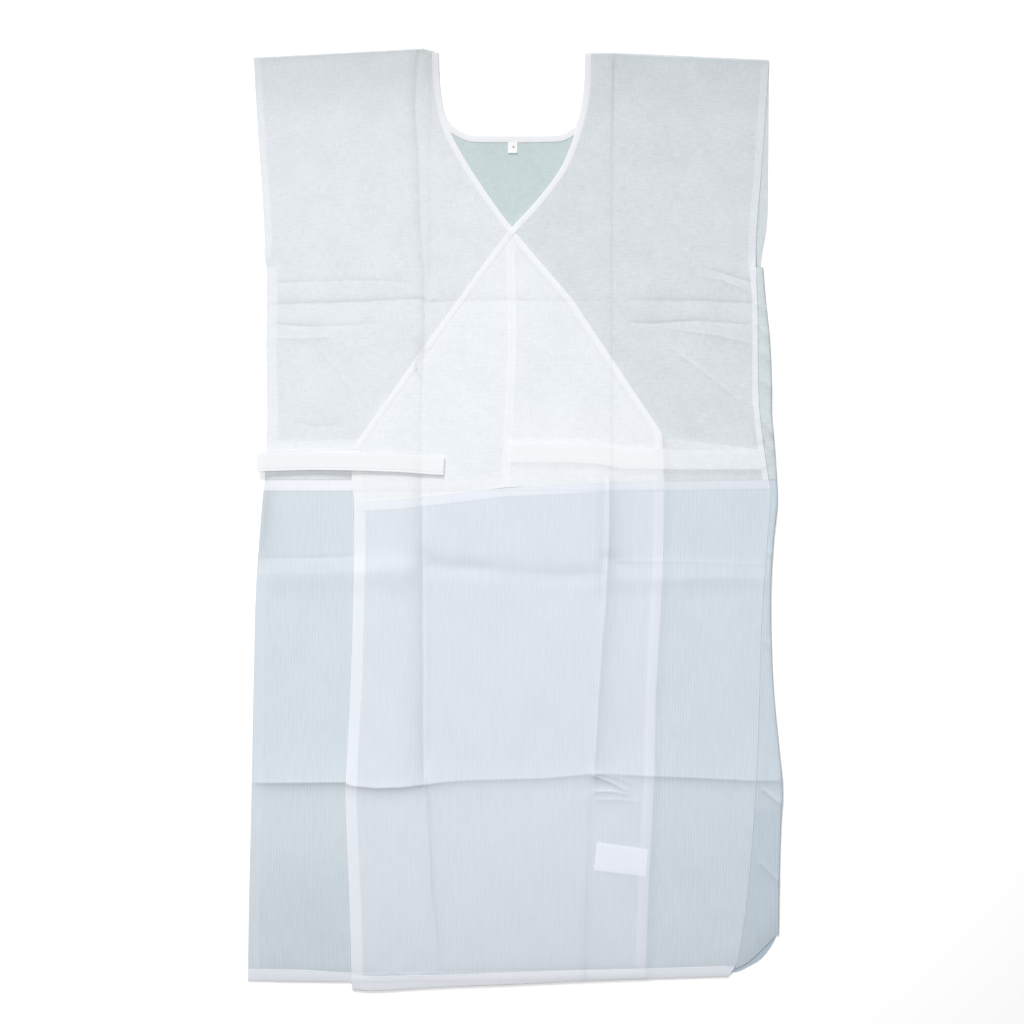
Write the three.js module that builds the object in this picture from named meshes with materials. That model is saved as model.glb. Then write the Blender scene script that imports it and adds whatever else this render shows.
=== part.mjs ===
// A yukata slip: the wrap-front one-piece underdress worn under a summer kimono, laid flat on its back.
// X runs across the garment to the viewer's right, Y runs from hem to shoulders, and Z comes up from the
// surface it lies on. Millimetres. The wearer's left front lies on top, so it is the piece on the viewer's
// right, and its front edge crosses over to the viewer's left.
//
// The body is cut in one: a back and two side fronts that fold over the shoulders, with no shoulder seam.
// An overlap panel is sewn to each side front along the centre, the skirt is sewn on at the waist, and a
// bias strip binds the neckline. On the viewer's right the back cloth rolls round to the front by a few
// centimetres before it meets the side seam.

import * as THREE from 'three';

// ---------------------------------------------------------------- sizes

const WALL = 1.0; // one layer of cloth
const GAP = 0.3; // air between two layers, and between two pieces at a seam
const LAYER = WALL + GAP;

// the underside of each layer, counted up from the surface
const Z_BACK = 0;
const Z_ON_BACK = LAYER; // the back's neck binding and the neck label
const Z_UNDERLAP = 2 * LAYER;
const Z_BETWEEN = 3 * LAYER; // inner tie, care label and the underlap's neck binding
const Z_OVERLAP = 4 * LAYER;
const Z_ON_TOP = 5 * LAYER; // the overlap's neck binding and the outer tie's lower leg
const Z_TIE_TOP = 6 * LAYER;

const BINDING = 8; // seen width of the neck binding
const WAIST_Y = 48.8; // waist seam of the back and of the underlap
const CENTRE_X = -6; // centre seam of the underlap
const FOLD_STEPS = 6; // facets round a fold
const INNER_FOLD_X = 297; // where the inner tie turns back, inside the side seam
const OUTER_FOLD_X = -315.6; // where the outer tie turns back, past the garment's side

// Outlines, each from the top of the garment down.
const SHOULDER_RIGHT = [[-319.3, 563.8], [-113, 575], [-94, 570.2]];
const SHOULDER_LEFT = [[84.5, 569.5], [117, 570], [309, 561]];

const BACK_NECK = [
  [-94, 570.2], [-92, 520], [-86, 493], [-75, 478], [-58, 469.6], [-48, 468.2],
  [48, 468.2], [60, 470.8], [73, 480], [79, 500], [83.5, 530], [84.5, 569.5],
];
const UNDERLAP_NECK = [
  [-94, 570.2], [-93.5, 539], [-88, 497], [-78.5, 469], [-60.5, 437], [-38.5, 403], [-12, 366],
  [26.5, 320], [69.5, 270.5], [97, 229], [142, 161.5], [171.5, 118], [180, 104], [180.4, 87],
];
const OVERLAP_NECK = [
  [84.5, 569.5], [84.3, 530], [79.5, 497], [70, 464], [56.8, 430.3], [32.6, 397.6],
  [12.2, 374.5], [-8.8, 357.5], [-102, 224.5], [-196.3, 91.5], [-198, 87.5],
];

const SIDE_RIGHT = [
  [-319.3, 563.8], [-315.6, 489], [-310, 412], [-306, 347], [-307, 320.6], [-303.7, 314.5],
  [-303.7, 262], [-304.6, 203.5], [-302.6, 120.5], [-306, WAIST_Y],
];
const SKIRT_SIDE_RIGHT = [
  [-306, WAIST_Y], [-309, 25], [-313.4, -33], [-316.8, -77], [-319, -153], [-322, -320],
  [-326, -500], [-326.6, -562],
];
const BACK_ARMHOLE = [[309, 561], [308.5, 524], [307.8, 404], [307, 359], [302, 333], [301.5, 308]];
const FRONT_ARMHOLE = [[309, 561], [303, 474], [298.8, 413], [294, 363], [292.3, 308]];
const SIDE_FOLD = [
  [301.5, 308], [304.8, 264.5], [309.8, 225], [312.4, 162], [311.8, 127], [314.6, 103],
  [318.5, WAIST_Y],
];
const SIDE_SEAM = [[292.3, 308], [295.6, 264], [295.6, 146], [301.6, 96], [308.5, WAIST_Y]];
const SKIRT_SIDE_FOLD = [
  [318.5, WAIST_Y], [320, 20.5], [314.6, -21], [310.5, -85.6], [312, -166], [315, -217],
  [320, -267], [326.6, -331], [324, -356], [322, -410], [321, -461], [321, -506.5],
];
const SKIRT_SIDE_SEAM = [
  [308.5, WAIST_Y], [312, 38], [308.5, -6], [303, -75], [298.8, -146], [297.8, -206], [293.8, -320],
  [286.5, -420], [279, -491], [272, -533], [267, -548],
];
const CORNER_LOWER = [
  [321, -506.5], [315, -515], [305.7, -528.5], [297.7, -537], [285.5, -544], [260, -556.6],
];
const CORNER_UPPER = [
  [321, -506.5], [313, -512], [304, -520.5], [293.5, -531], [282, -541],
];

const OVERLAP_SEAM = [[-6.5, 354], [-4.5, 205], [-9, 113], [-13, 39.4]];
const OVERLAP_EDGE = [[-198, 87.5], [-201, 55], [-197, 21]];
const OVERLAP_WAIST = [[-197, 21], [-140, 24.4], [-64, 33], [-13, 39.4]];
const LEFT_WAIST = [[-13, 39.4], [71, 43], [107, 45.5], [308.5, WAIST_Y]];
const OVERLAP_SKIRT_EDGE = [
  [-197, 21], [-197, -44], [-200, -175], [-207, -314], [-208.3, -337], [-202, -476],
  [-199.7, -572.4],
];
const OVERLAP_HEM = [
  [-199.7, -572.4], [-175, -575], [-103, -570], [5, -566], [88, -562], [167.5, -559.4],
  [258, -556.6],
];
const UNDERLAP_EDGE = [
  [181, WAIST_Y], [181, 34], [179.7, -49], [177, -101.5], [170.6, -219], [168.7, -317],
  [161.8, -453], [158, -560],
];
const UNDERLAP_HEM = [[-326.6, -562], [-208, -564], [158, -560]];

// ---------------------------------------------------------------- cloth solids

const reversed = (path) => [...path].reverse();

// Moves an open path sideways, to its left when d is positive, with mitred corners.
function offsetPath(path, d) {
  return path.map(([x, y], i) => {
    const before = path[Math.max(i - 1, 0)];
    const after = path[Math.min(i + 1, path.length - 1)];
    const unit = (a, b) => {
      const length = Math.hypot(b[0] - a[0], b[1] - a[1]) || 1;
      return [-(b[1] - a[1]) / length, (b[0] - a[0]) / length];
    };
    const n1 = i > 0 ? unit(before, path[i]) : unit(path[i], after);
    const n2 = i < path.length - 1 ? unit(path[i], after) : n1;
    const mitre = d / (1 + n1[0] * n2[0] + n1[1] * n2[1]);
    return [x + (n1[0] + n2[0]) * mitre, y + (n1[1] + n2[1]) * mitre];
  });
}

// A flat layer inside an outline. Every point of cloth is a pair: one on its inner face, one on its
// outer face. A front's outer face is up, and the back's is down.
function flatLayer(outline, z, outerUp = true) {
  const contour = outline.map(([x, y]) => new THREE.Vector2(x, y));
  const inner = outerUp ? z : z + WALL;
  const outer = outerUp ? z + WALL : z;
  const pair = ([x, y]) => ({ inner: [x, y, inner], outer: [x, y, outer] });
  return THREE.ShapeUtils.triangulateShape(contour, []).map((triangle) => {
    const [a, b, c] = triangle.map((i) => outline[i]);
    const area = (b[0] - a[0]) * (c[1] - a[1]) - (c[0] - a[0]) * (b[1] - a[1]);
    const corners = (area > 0) === outerUp ? [a, b, c] : [a, c, b];
    return corners.map(pair);
  });
}

// The half-round that joins a lower layer to an upper one along a folded edge. Outward is the way that
// the fold bulges, and the path is where both layers stop short of the garment's edge.
function foldLayer(path, outward, zLow, zHigh) {
  const outerRadius = (zHigh - zLow + WALL) / 2;
  const innerRadius = outerRadius - WALL;
  const middle = zLow + outerRadius;
  const round = ([x, y], k, radius) => {
    const angle = (Math.PI * k) / FOLD_STEPS;
    const reach = radius * Math.sin(angle);
    return [x + outward[0] * reach, y + outward[1] * reach, middle - radius * Math.cos(angle)];
  };
  const pair = (point, k) => ({
    inner: round(point, k, innerRadius),
    outer: round(point, k, outerRadius),
  });
  const facets = [];
  for (let i = 0; i + 1 < path.length; i += 1) {
    for (let k = 0; k < FOLD_STEPS; k += 1) {
      const [a, b] = [pair(path[i], k), pair(path[i + 1], k)];
      const [c, d] = [pair(path[i + 1], k + 1), pair(path[i], k + 1)];
      facets.push([a, b, c], [a, c, d]);
    }
  }
  return facets;
}

// Closes facets of paired points into one solid: both faces, and a wall along every free edge.
function clothSolid(facets) {
  const pairs = new Map();
  const positions = [];
  const index = [];
  const indexOf = (pair) => {
    const key = [...pair.inner, ...pair.outer].map((v) => Math.round(v * 1000)).join();
    if (!pairs.has(key)) {
      pairs.set(key, positions.length / 6);
      positions.push(...pair.inner, ...pair.outer);
    }
    return pairs.get(key);
  };
  const inner = (i) => 2 * i;
  const outer = (i) => 2 * i + 1;
  const edges = new Map();
  for (const facet of facets) {
    const [a, b, c] = facet.map(indexOf);
    index.push(outer(a), outer(b), outer(c), inner(a), inner(c), inner(b));
    for (const [from, to] of [[a, b], [b, c], [c, a]]) {
      if (!edges.delete(`${to},${from}`)) edges.set(`${from},${to}`, [from, to]);
    }
  }
  for (const [from, to] of edges.values()) {
    index.push(outer(from), inner(from), inner(to), outer(from), inner(to), outer(to));
  }
  const geometry = new THREE.BufferGeometry();
  geometry.setAttribute('position', new THREE.Float32BufferAttribute(positions, 3));
  geometry.setIndex(index);
  geometry.computeVertexNormals();
  return geometry;
}

// A bias strip along an edge: a leaf that lies on the panel, and a lip down over the panel's raw edge.
// The path is the finished edge, with the panel on its left.
function bindingSolid(path, zPanel) {
  const top = zPanel + LAYER;
  const section = [
    [0, zPanel], [WALL, zPanel], [WALL, top], [BINDING, top], [BINDING, top + WALL], [0, top + WALL],
  ];
  const rails = section.map(([d, z]) => offsetPath(path, d).map(([x, y]) => [x, y, z]));
  const positions = [];
  for (let i = 0; i < path.length; i += 1) {
    for (const rail of rails) positions.push(...rail[i]);
  }
  const count = section.length;
  const index = [];
  for (let i = 0; i + 1 < path.length; i += 1) {
    for (let k = 0; k < count; k += 1) {
      const [a, b] = [i * count + k, i * count + ((k + 1) % count)];
      index.push(a, b, b + count, a, b + count, a + count);
    }
  }
  const cap = THREE.ShapeUtils.triangulateShape(section.map(([d, z]) => new THREE.Vector2(d, z)), []);
  const last = (path.length - 1) * count;
  for (const [a, b, c] of cap) {
    const turn = (section[b][0] - section[a][0]) * (section[c][1] - section[a][1])
      - (section[c][0] - section[a][0]) * (section[b][1] - section[a][1]);
    const [p, q] = turn > 0 ? [b, c] : [c, b];
    index.push(a, q, p, last + a, last + p, last + q);
  }
  const geometry = new THREE.BufferGeometry();
  geometry.setAttribute('position', new THREE.Float32BufferAttribute(positions, 3));
  geometry.setIndex(index);
  geometry.computeVertexNormals();
  return geometry;
}

// ---------------------------------------------------------------- shared edges

const FOLD_UNDERLAP = (Z_UNDERLAP + WALL) / 2; // how far each fold reaches past its layers
const FOLD_OVERLAP = (Z_OVERLAP + WALL) / 2;
const CUT = WALL + GAP; // the panel's raw edge, inside the binding

const moved = (path, dx, dy) => path.map(([x, y]) => [x + dx, y + dy]);
const shoulderRight = moved(SHOULDER_RIGHT, 0, -FOLD_UNDERLAP);
const shoulderLeft = moved(SHOULDER_LEFT, 0, -FOLD_OVERLAP);
shoulderRight.at(-1)[0] -= CUT;
shoulderLeft[0][0] += CUT;
const sideFold = moved(SIDE_FOLD, -FOLD_OVERLAP, 0);
const skirtSideFold = moved(SKIRT_SIDE_FOLD, -FOLD_OVERLAP, 0);
skirtSideFold[0][1] -= GAP;

// Raw neck edges, without the ends that the folds replace.
const backNeckCut = offsetPath(BACK_NECK, -CUT).slice(1, -1);
const underlapNeckCut = offsetPath(UNDERLAP_NECK, -CUT);
const overlapNeckCut = offsetPath(OVERLAP_NECK, CUT);

const CENTRE_NECK = 6; // last point of the underlap's neckline above the centre seam
const CROSSING = 7; // last point of the overlap's neckline above its overlap panel

// ---------------------------------------------------------------- body

function bodyCloth() {
  const back = [
    ...reversed(SIDE_RIGHT.slice(1)), // up the side, then along the shoulders
    ...shoulderRight,
    ...backNeckCut,
    ...shoulderLeft,
    ...BACK_ARMHOLE.slice(1, -1),
    ...sideFold,
  ];
  const underlapFront = [
    ...reversed(SIDE_RIGHT.slice(1)),
    ...shoulderRight,
    ...underlapNeckCut.slice(1, CENTRE_NECK + 1),
    [CENTRE_X - GAP / 2, 357],
    [CENTRE_X - GAP / 2, WAIST_Y],
  ];
  const overlapFront = [
    ...offsetPath(SIDE_SEAM, -GAP / 2).reverse(),
    ...reversed(FRONT_ARMHOLE.slice(1, -1)),
    ...reversed(shoulderLeft),
    ...overlapNeckCut.slice(1, CROSSING),
    ...offsetPath(OVERLAP_SEAM, GAP / 2),
    ...LEFT_WAIST.slice(1, -1),
  ];
  const wrap = [...sideFold, ...offsetPath(SIDE_SEAM, GAP / 2).reverse()];
  return clothSolid([
    ...flatLayer(back, Z_BACK, false),
    ...flatLayer(underlapFront, Z_UNDERLAP),
    ...flatLayer(overlapFront, Z_OVERLAP),
    ...flatLayer(wrap, Z_OVERLAP),
    ...foldLayer(reversed(shoulderRight), [0, 1], Z_BACK, Z_UNDERLAP),
    ...foldLayer(reversed(shoulderLeft), [0, 1], Z_BACK, Z_OVERLAP),
    ...foldLayer(reversed(sideFold), [1, 0], Z_BACK, Z_OVERLAP),
  ]);
}

function overlapPanel() {
  const outline = [
    ...offsetPath(OVERLAP_SEAM, -GAP / 2),
    ...reversed(OVERLAP_WAIST.slice(0, -1)),
    ...reversed(OVERLAP_EDGE.slice(1, -1)),
    ...reversed(overlapNeckCut.slice(CROSSING + 1)),
  ];
  return clothSolid(flatLayer(outline, Z_OVERLAP));
}

function underlapPanel() {
  const outline = [
    [CENTRE_X + GAP / 2, WAIST_Y],
    [CENTRE_X + GAP / 2, 357],
    ...underlapNeckCut.slice(CENTRE_NECK + 1),
    [180.6, WAIST_Y],
  ];
  return clothSolid(flatLayer(outline, Z_UNDERLAP));
}

// ---------------------------------------------------------------- neck binding

// One strip on the real garment, here three lengths that stop at the shoulder folds.
const below = ([x, y], reach) => [x, y - reach];

function backBinding() {
  const path = [...BACK_NECK];
  path[0] = below(path[0], FOLD_UNDERLAP);
  path[path.length - 1] = below(path.at(-1), FOLD_OVERLAP);
  return bindingSolid(reversed(path), Z_BACK);
}

function underlapBinding() {
  const path = [below(UNDERLAP_NECK[0], FOLD_UNDERLAP), ...UNDERLAP_NECK.slice(1)];
  return bindingSolid(reversed(path), Z_UNDERLAP);
}

function overlapBinding() {
  const path = [below(OVERLAP_NECK[0], FOLD_OVERLAP), ...OVERLAP_NECK.slice(1)];
  return bindingSolid(path, Z_OVERLAP);
}

// ---------------------------------------------------------------- skirt

function backSkirt() {
  const corner = CORNER_LOWER.slice(1);
  const back = [
    ...reversed(SKIRT_SIDE_RIGHT.slice(1)),
    [SKIRT_SIDE_RIGHT[0][0], WAIST_Y - GAP],
    ...skirtSideFold,
    ...corner,
  ];
  const seam = offsetPath(SKIRT_SIDE_SEAM, GAP / 2);
  seam[0][1] = WAIST_Y - GAP;
  const wrap = [...skirtSideFold, ...CORNER_UPPER.slice(1), ...reversed(seam)];
  return clothSolid([
    ...flatLayer(back, Z_BACK, false),
    ...flatLayer(wrap, Z_OVERLAP),
    ...foldLayer(reversed(skirtSideFold), [1, 0], Z_BACK, Z_OVERLAP),
  ]);
}

function underlapSkirt() {
  const outline = [
    ...reversed(SKIRT_SIDE_RIGHT.slice(1)),
    [SKIRT_SIDE_RIGHT[0][0], WAIST_Y - GAP],
    [UNDERLAP_EDGE[0][0], WAIST_Y - GAP],
    ...UNDERLAP_EDGE.slice(1),
    ...reversed(UNDERLAP_HEM.slice(1, -1)),
  ];
  return clothSolid(flatLayer(outline, Z_UNDERLAP));
}

function overlapSkirt() {
  const waist = moved([...OVERLAP_WAIST.slice(0, -1), ...LEFT_WAIST], 0, -GAP);
  const outline = [
    ...waist,
    ...offsetPath(SKIRT_SIDE_SEAM, -GAP / 2).slice(1),
    ...reversed(OVERLAP_HEM),
    ...reversed(OVERLAP_SKIRT_EDGE.slice(1, -1)),
  ];
  return clothSolid(flatLayer(outline, Z_OVERLAP));
}

// ---------------------------------------------------------------- ties and labels

// The outer tie leaves the overlap's corner under itself, runs out past the side, and comes back on top.
function outerTie() {
  const fold = [[OUTER_FOLD_X + LAYER, 80.5], [OUTER_FOLD_X + LAYER, 60]];
  const lower = [...fold, [-196, 62], [-196, 86]];
  const upper = [
    ...fold, [-271, 58.8], [-201, 57.7], [-140, 57.7], [-105, 55.5], [-89, 54],
    [-86, 77.3], [-140, 80.5], [-195, 84.8], [-250, 84.8],
  ];
  return clothSolid([
    ...flatLayer(lower, Z_ON_TOP, false),
    ...flatLayer(upper, Z_TIE_TOP),
    ...foldLayer(fold, [-1, 0], Z_ON_TOP, Z_TIE_TOP),
  ]);
}

// The inner tie leaves the underlap's front edge, turns back inside the side seam, and lies on the
// underlap.
function innerTie() {
  const fold = [[INNER_FOLD_X - LAYER, 61.5], [INNER_FOLD_X - LAYER, 85.5]];
  const lower = [...fold, [181.6, 100], [181.6, 76]];
  const upper = [
    ...fold, [130, 86], [100, 92], [-5.7, 93.7], [-5.7, 69.5], [100, 68], [130, 62],
  ];
  return clothSolid([
    ...flatLayer(lower, Z_UNDERLAP, false),
    ...flatLayer(upper, Z_BETWEEN),
    ...foldLayer(fold, [1, 0], Z_UNDERLAP, Z_BETWEEN),
  ]);
}

function neckLabel() {
  const outline = [[-9.4, 459.6], [-9.4, 447.5], [2, 447.5], [2, 459.6]];
  return clothSolid(flatLayer(outline, Z_ON_BACK));
}

function careLabel() {
  const outline = [[99.2, -393], [95.5, -427], [157.7, -434.6], [161, -401.6]];
  return clothSolid(flatLayer(outline, Z_BETWEEN));
}

// ---------------------------------------------------------------- materials

const cotton = new THREE.MeshStandardMaterial({ color: 0xdde4e8, roughness: 0.9, metalness: 0 });
const crepe = new THREE.MeshStandardMaterial({ color: 0xd3dee4, roughness: 0.92, metalness: 0 });
const trim = new THREE.MeshStandardMaterial({ color: 0xf0f1f5, roughness: 0.85, metalness: 0 });
const label = new THREE.MeshStandardMaterial({ color: 0xf6f6f8, roughness: 0.6, metalness: 0 });

// ---------------------------------------------------------------- the garment

const group = new THREE.Group();

function add(name, geometry, material) {
  const mesh = new THREE.Mesh(geometry, material);
  mesh.name = name;
  group.add(mesh);
}

add('body', bodyCloth(), cotton);
add('overlap_panel_left', overlapPanel(), cotton);
add('overlap_panel_right', underlapPanel(), cotton);
add('skirt_back', backSkirt(), crepe);
add('skirt_front_right', underlapSkirt(), crepe);
add('skirt_front_left', overlapSkirt(), crepe);
add('neck_binding_back', backBinding(), trim);
add('neck_binding_right', underlapBinding(), trim);
add('neck_binding_left', overlapBinding(), trim);
add('tie_outer', outerTie(), trim);
add('tie_inner', innerTie(), trim);
add('label_neck', neckLabel(), label);
add('label_care', careLabel(), label);

export default group;
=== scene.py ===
# %% [markdown]
# # A yukata slip, laid flat
#
# A yukata slip is the thin white underdress worn beneath a summer kimono. This one lies on its back on a
# table: a sheer cotton body that folds over the shoulders, a ribbed crepe skirt, a bound V neck, and ties
# folded in for packing. We start by loading the rigid frame. It holds one plain solid for every cut
# piece, and each piece made here takes its outline and its place from that solid.

# %% Load the frame
import math

import bpy
import numpy as np
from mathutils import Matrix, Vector, kdtree
from mathutils.geometry import delaunay_2d_cdt


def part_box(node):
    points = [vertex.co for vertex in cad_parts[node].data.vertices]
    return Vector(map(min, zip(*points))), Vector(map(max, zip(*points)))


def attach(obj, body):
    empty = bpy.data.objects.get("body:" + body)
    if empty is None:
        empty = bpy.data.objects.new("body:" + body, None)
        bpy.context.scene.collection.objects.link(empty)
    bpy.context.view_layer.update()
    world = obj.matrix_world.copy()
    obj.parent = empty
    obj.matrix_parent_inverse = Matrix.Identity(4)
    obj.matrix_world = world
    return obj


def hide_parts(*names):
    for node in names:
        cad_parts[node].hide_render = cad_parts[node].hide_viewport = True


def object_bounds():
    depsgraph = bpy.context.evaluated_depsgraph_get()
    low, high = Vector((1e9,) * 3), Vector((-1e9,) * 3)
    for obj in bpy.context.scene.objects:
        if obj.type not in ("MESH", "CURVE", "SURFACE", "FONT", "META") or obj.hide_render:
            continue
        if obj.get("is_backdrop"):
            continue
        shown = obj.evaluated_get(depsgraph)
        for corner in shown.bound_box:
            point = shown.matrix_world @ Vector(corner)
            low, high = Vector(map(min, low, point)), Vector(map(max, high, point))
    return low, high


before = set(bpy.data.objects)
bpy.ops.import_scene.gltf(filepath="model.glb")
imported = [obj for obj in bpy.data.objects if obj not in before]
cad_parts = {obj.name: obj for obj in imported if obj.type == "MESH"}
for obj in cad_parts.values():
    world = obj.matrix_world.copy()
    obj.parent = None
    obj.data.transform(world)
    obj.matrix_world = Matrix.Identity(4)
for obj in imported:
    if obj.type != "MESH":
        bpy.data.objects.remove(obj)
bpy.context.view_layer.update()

MM = 0.001  # all cloth is worked out in millimetres, and Blender's scene is in metres
print("frame nodes:", ", ".join(sorted(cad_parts)))

# %% [markdown]
# ## Camera, light and floor
#
# The slip is looked at from straight above. A long lens far away keeps the garment's sides parallel.
# The light is soft, and most of it comes from beyond the shoulders, so that a crease has a lit side and a
# dim side. The floor is a plain pale sheet.

# %% Camera and light
scene = bpy.context.scene
scene.view_settings.view_transform = "Standard"

FRAME_WIDTH = 1.2493
LENS = 120.0
SENSOR = 36.0
VIEW_CENTRE = (-0.0045, 0.0095)
ROOM_LIGHT = 0.28

camera_data = bpy.data.cameras.new("Camera")
camera_data.lens = LENS
camera_data.sensor_width = SENSOR
camera_data.clip_end = 30.0
camera = bpy.data.objects.new("Camera", camera_data)
camera.location = (*VIEW_CENTRE, FRAME_WIDTH * LENS / SENSOR)
scene.collection.objects.link(camera)
scene.camera = camera


def softbox(name, place, target, size, power):
    """A square area light that faces a point."""
    data = bpy.data.lights.new(name, "AREA")
    data.shape = "SQUARE"
    data.size = size
    data.energy = power
    lamp = bpy.data.objects.new(name, data)
    lamp.location = place
    aim = Vector(target) - Vector(place)
    lamp.rotation_euler = aim.to_track_quat("-Z", "Y").to_euler()
    scene.collection.objects.link(lamp)


softbox("Overhead softbox", (-0.12, 0.04, 1.6), (-0.12, 0.04, 0.0), 1.1, 16.6)
softbox("Key beyond the shoulders", (-4.0, 14.0, 6.5), (0.0, 0.0, 0.0), 4.5, 2450.0)

world = bpy.data.worlds.new("Studio")
world.use_nodes = True
world.node_tree.nodes["Background"].inputs["Color"].default_value = (1.0, 1.0, 1.0, 1.0)
world.node_tree.nodes["Background"].inputs["Strength"].default_value = ROOM_LIGHT
scene.world = world

# %% Floor
FLOOR_SIZE = 14.0
FLOOR_DROP = 0.0001  # just below the height that the cloth's lowest layer lies at

bpy.ops.mesh.primitive_plane_add(size=FLOOR_SIZE, location=(0.0, 0.0, -FLOOR_DROP))
floor = bpy.context.active_object
floor.name = "floor"
floor_finish = bpy.data.materials.new("Pale floor")
floor_finish.use_nodes = True
floor_shader = floor_finish.node_tree.nodes["Principled BSDF"]
floor_shader.inputs["Base Color"].default_value = (0.985, 0.985, 0.985, 1.0)
floor_shader.inputs["Roughness"].default_value = 0.9
floor_shader.inputs["Specular IOR Level"].default_value = 0.1
floor.data.materials.append(floor_finish)
floor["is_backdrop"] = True

# %% [markdown]
# ## Outlines from the frame
#
# Every cut piece is flat in the frame, so its outline is the border of the flat faces at one height. We
# walk that border to get a closed ring of points. The frame's rings are coarse, so shallow corners are
# rounded by cutting them a few times, and sharp corners, where two sewn edges meet, are kept.

# %% Read rings of points off the frame
def rings(node, height, facing):
    """The closed borders, in millimetres, of a node's flat faces at this height that face up or down."""
    mesh = bpy.data.objects[node].data
    spots = [tuple(round(c / MM, 3) for c in v.co) for v in mesh.vertices]
    follow = {}
    for face in mesh.polygons:
        if face.normal.z * facing < 0.99:
            continue
        corners = [spots[i] for i in face.vertices]
        if any(abs(c[2] - height) > 0.05 for c in corners):
            continue
        for a, b in zip(corners, corners[1:] + corners[:1]):
            if follow.get(b, {}).pop(a, None) is None:
                follow.setdefault(a, {})[b] = True
    found = []
    follow = {a: list(b) for a, b in follow.items() if b}
    while follow:
        start = here = next(iter(follow))
        ring = []
        while here in follow:
            ring.append(here[:2])
            ahead = follow[here].pop()
            if not follow[here]:
                del follow[here]
            here = ahead
            if here == start:
                break
        found.append(np.array(ring))
    return sorted(found, key=lambda r: -abs(ring_area(r)))


def ring_area(ring):
    """The area inside a ring, above 0 where the ring runs anticlockwise."""
    x, y = ring[:, 0], ring[:, 1]
    return 0.5 * float(np.sum(x * np.roll(y, -1) - y * np.roll(x, -1)))


for solid in ("body", "skirt_back", "skirt_front_left"):
    tops = rings(solid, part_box(solid)[1][2] / MM, 1)
    print(solid, "rings on top, points and cm2:", [(len(r), round(ring_area(r) / 100)) for r in tops])

# %% Round the shallow corners and space the points evenly
SHARP = math.radians(32)


def turn(before, here, after):
    """The angle by which a line turns at a point."""
    a, b = here - before, after - here
    return abs(math.atan2(a[0] * b[1] - a[1] * b[0], float(a @ b)))


def soften(points, pins, closed=True, rounds=3):
    """Cuts every shallow corner, and keeps sharp ones and the pinned points."""
    points = [np.array(p, float) for p in points]
    held = {tuple(np.round(p, 2)) for p in pins}
    for _ in range(rounds):
        new = []
        count = len(points)
        for i, here in enumerate(points):
            ends = not closed and i in (0, count - 1)
            before, after = points[i - 1], points[(i + 1) % count]
            if ends or tuple(np.round(here, 2)) in held or turn(before, here, after) > SHARP:
                new.append(here)
                held.add(tuple(np.round(here, 2)))
            else:
                new.append(0.75 * here + 0.25 * before)
                new.append(0.75 * here + 0.25 * after)
        points = new
    return np.array(points), held


def spaced(points, held, step, closed=True):
    """The same line with a point about every step, with the held points kept."""
    points = list(points)
    if closed:
        first = next(i for i, p in enumerate(points) if tuple(np.round(p, 2)) in held)
        points = points[first:] + points[:first + 1]
    out, run = [], [points[0]]
    for i, p in enumerate(points[1:], 1):
        run.append(p)
        if tuple(np.round(p, 2)) in held or i == len(points) - 1:
            line = np.array(run)
            lengths = np.hypot(*np.diff(line, axis=0).T)
            along = np.concatenate([[0.0], np.cumsum(lengths)])
            count = max(1, round(along[-1] / step))
            at = np.linspace(0.0, along[-1], count + 1)
            fresh = np.stack([np.interp(at, along, line[:, k]) for k in (0, 1)], 1)
            out.extend(fresh[:-1])
            run = [p]
    if not closed:
        out.append(points[-1])
    return np.array(out)


def corner(ring, right, up):
    """The point of a ring that lies furthest towards one corner."""
    return ring[int(np.argmax(ring[:, 0] * right + ring[:, 1] * up))]


def stretch(ring, start, end):
    """The part of a ring from one of its points to another, in the ring's own order."""
    first = int(np.argmin(np.hypot(*(ring - start).T)))
    turned = np.roll(ring, -first, axis=0)
    last = int(np.argmin(np.hypot(*(turned - end).T)))
    return turned[:last + 1]

# %% Distances to lines and rings
def beside(xy, line):
    """How far each point lies to the left (+) or right (-) of a line, and where along it, by point."""
    best = np.full(len(xy), np.inf)
    side = np.ones(len(xy))
    place = np.zeros(len(xy))
    for i, (a, b) in enumerate(zip(line[:-1], line[1:])):
        ab = b - a
        t = np.clip(((xy - a) @ ab) / max(float(ab @ ab), 1e-9), 0.0, 1.0)
        off = xy - (a + t[:, None] * ab)
        d = np.hypot(off[:, 0], off[:, 1])
        closer = d < best
        best = np.where(closer, d, best)
        side = np.where(closer, np.sign(ab[0] * off[:, 1] - ab[1] * off[:, 0]) + 1e-9, side)
        place = np.where(closer, i + t, place)
    return best * np.sign(side), place


def inside(xy, ring):
    """Which of the points lie inside a ring."""
    x, y = xy[:, 0], xy[:, 1]
    hit = np.zeros(len(xy), bool)
    for (ax, ay), (bx, by) in zip(ring, np.roll(ring, -1, axis=0)):
        if ay == by:
            continue
        crosses = (ay > y) != (by > y)
        hit ^= crosses & (x < ax + (y - ay) * (bx - ax) / (by - ay))
    return hit


def ramp(value, start, end):
    """0 before start, 1 after end, smooth between. Start may be above end."""
    t = np.clip((value - start) / (end - start), 0.0, 1.0)
    return t * t * (3.0 - 2.0 * t)


def band(value, low, high, soft=0.5):
    """1 between low and high, with soft edges."""
    return ramp(value, low - soft, low + soft) * ramp(value, high + soft, high - soft)


def shifted(line, distance):
    """A line moved to its left."""
    ahead = np.gradient(line, axis=0)
    ahead /= np.maximum(np.hypot(*ahead.T), 1e-9)[:, None]
    return line + distance * np.stack([-ahead[:, 1], ahead[:, 0]], 1)

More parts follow.
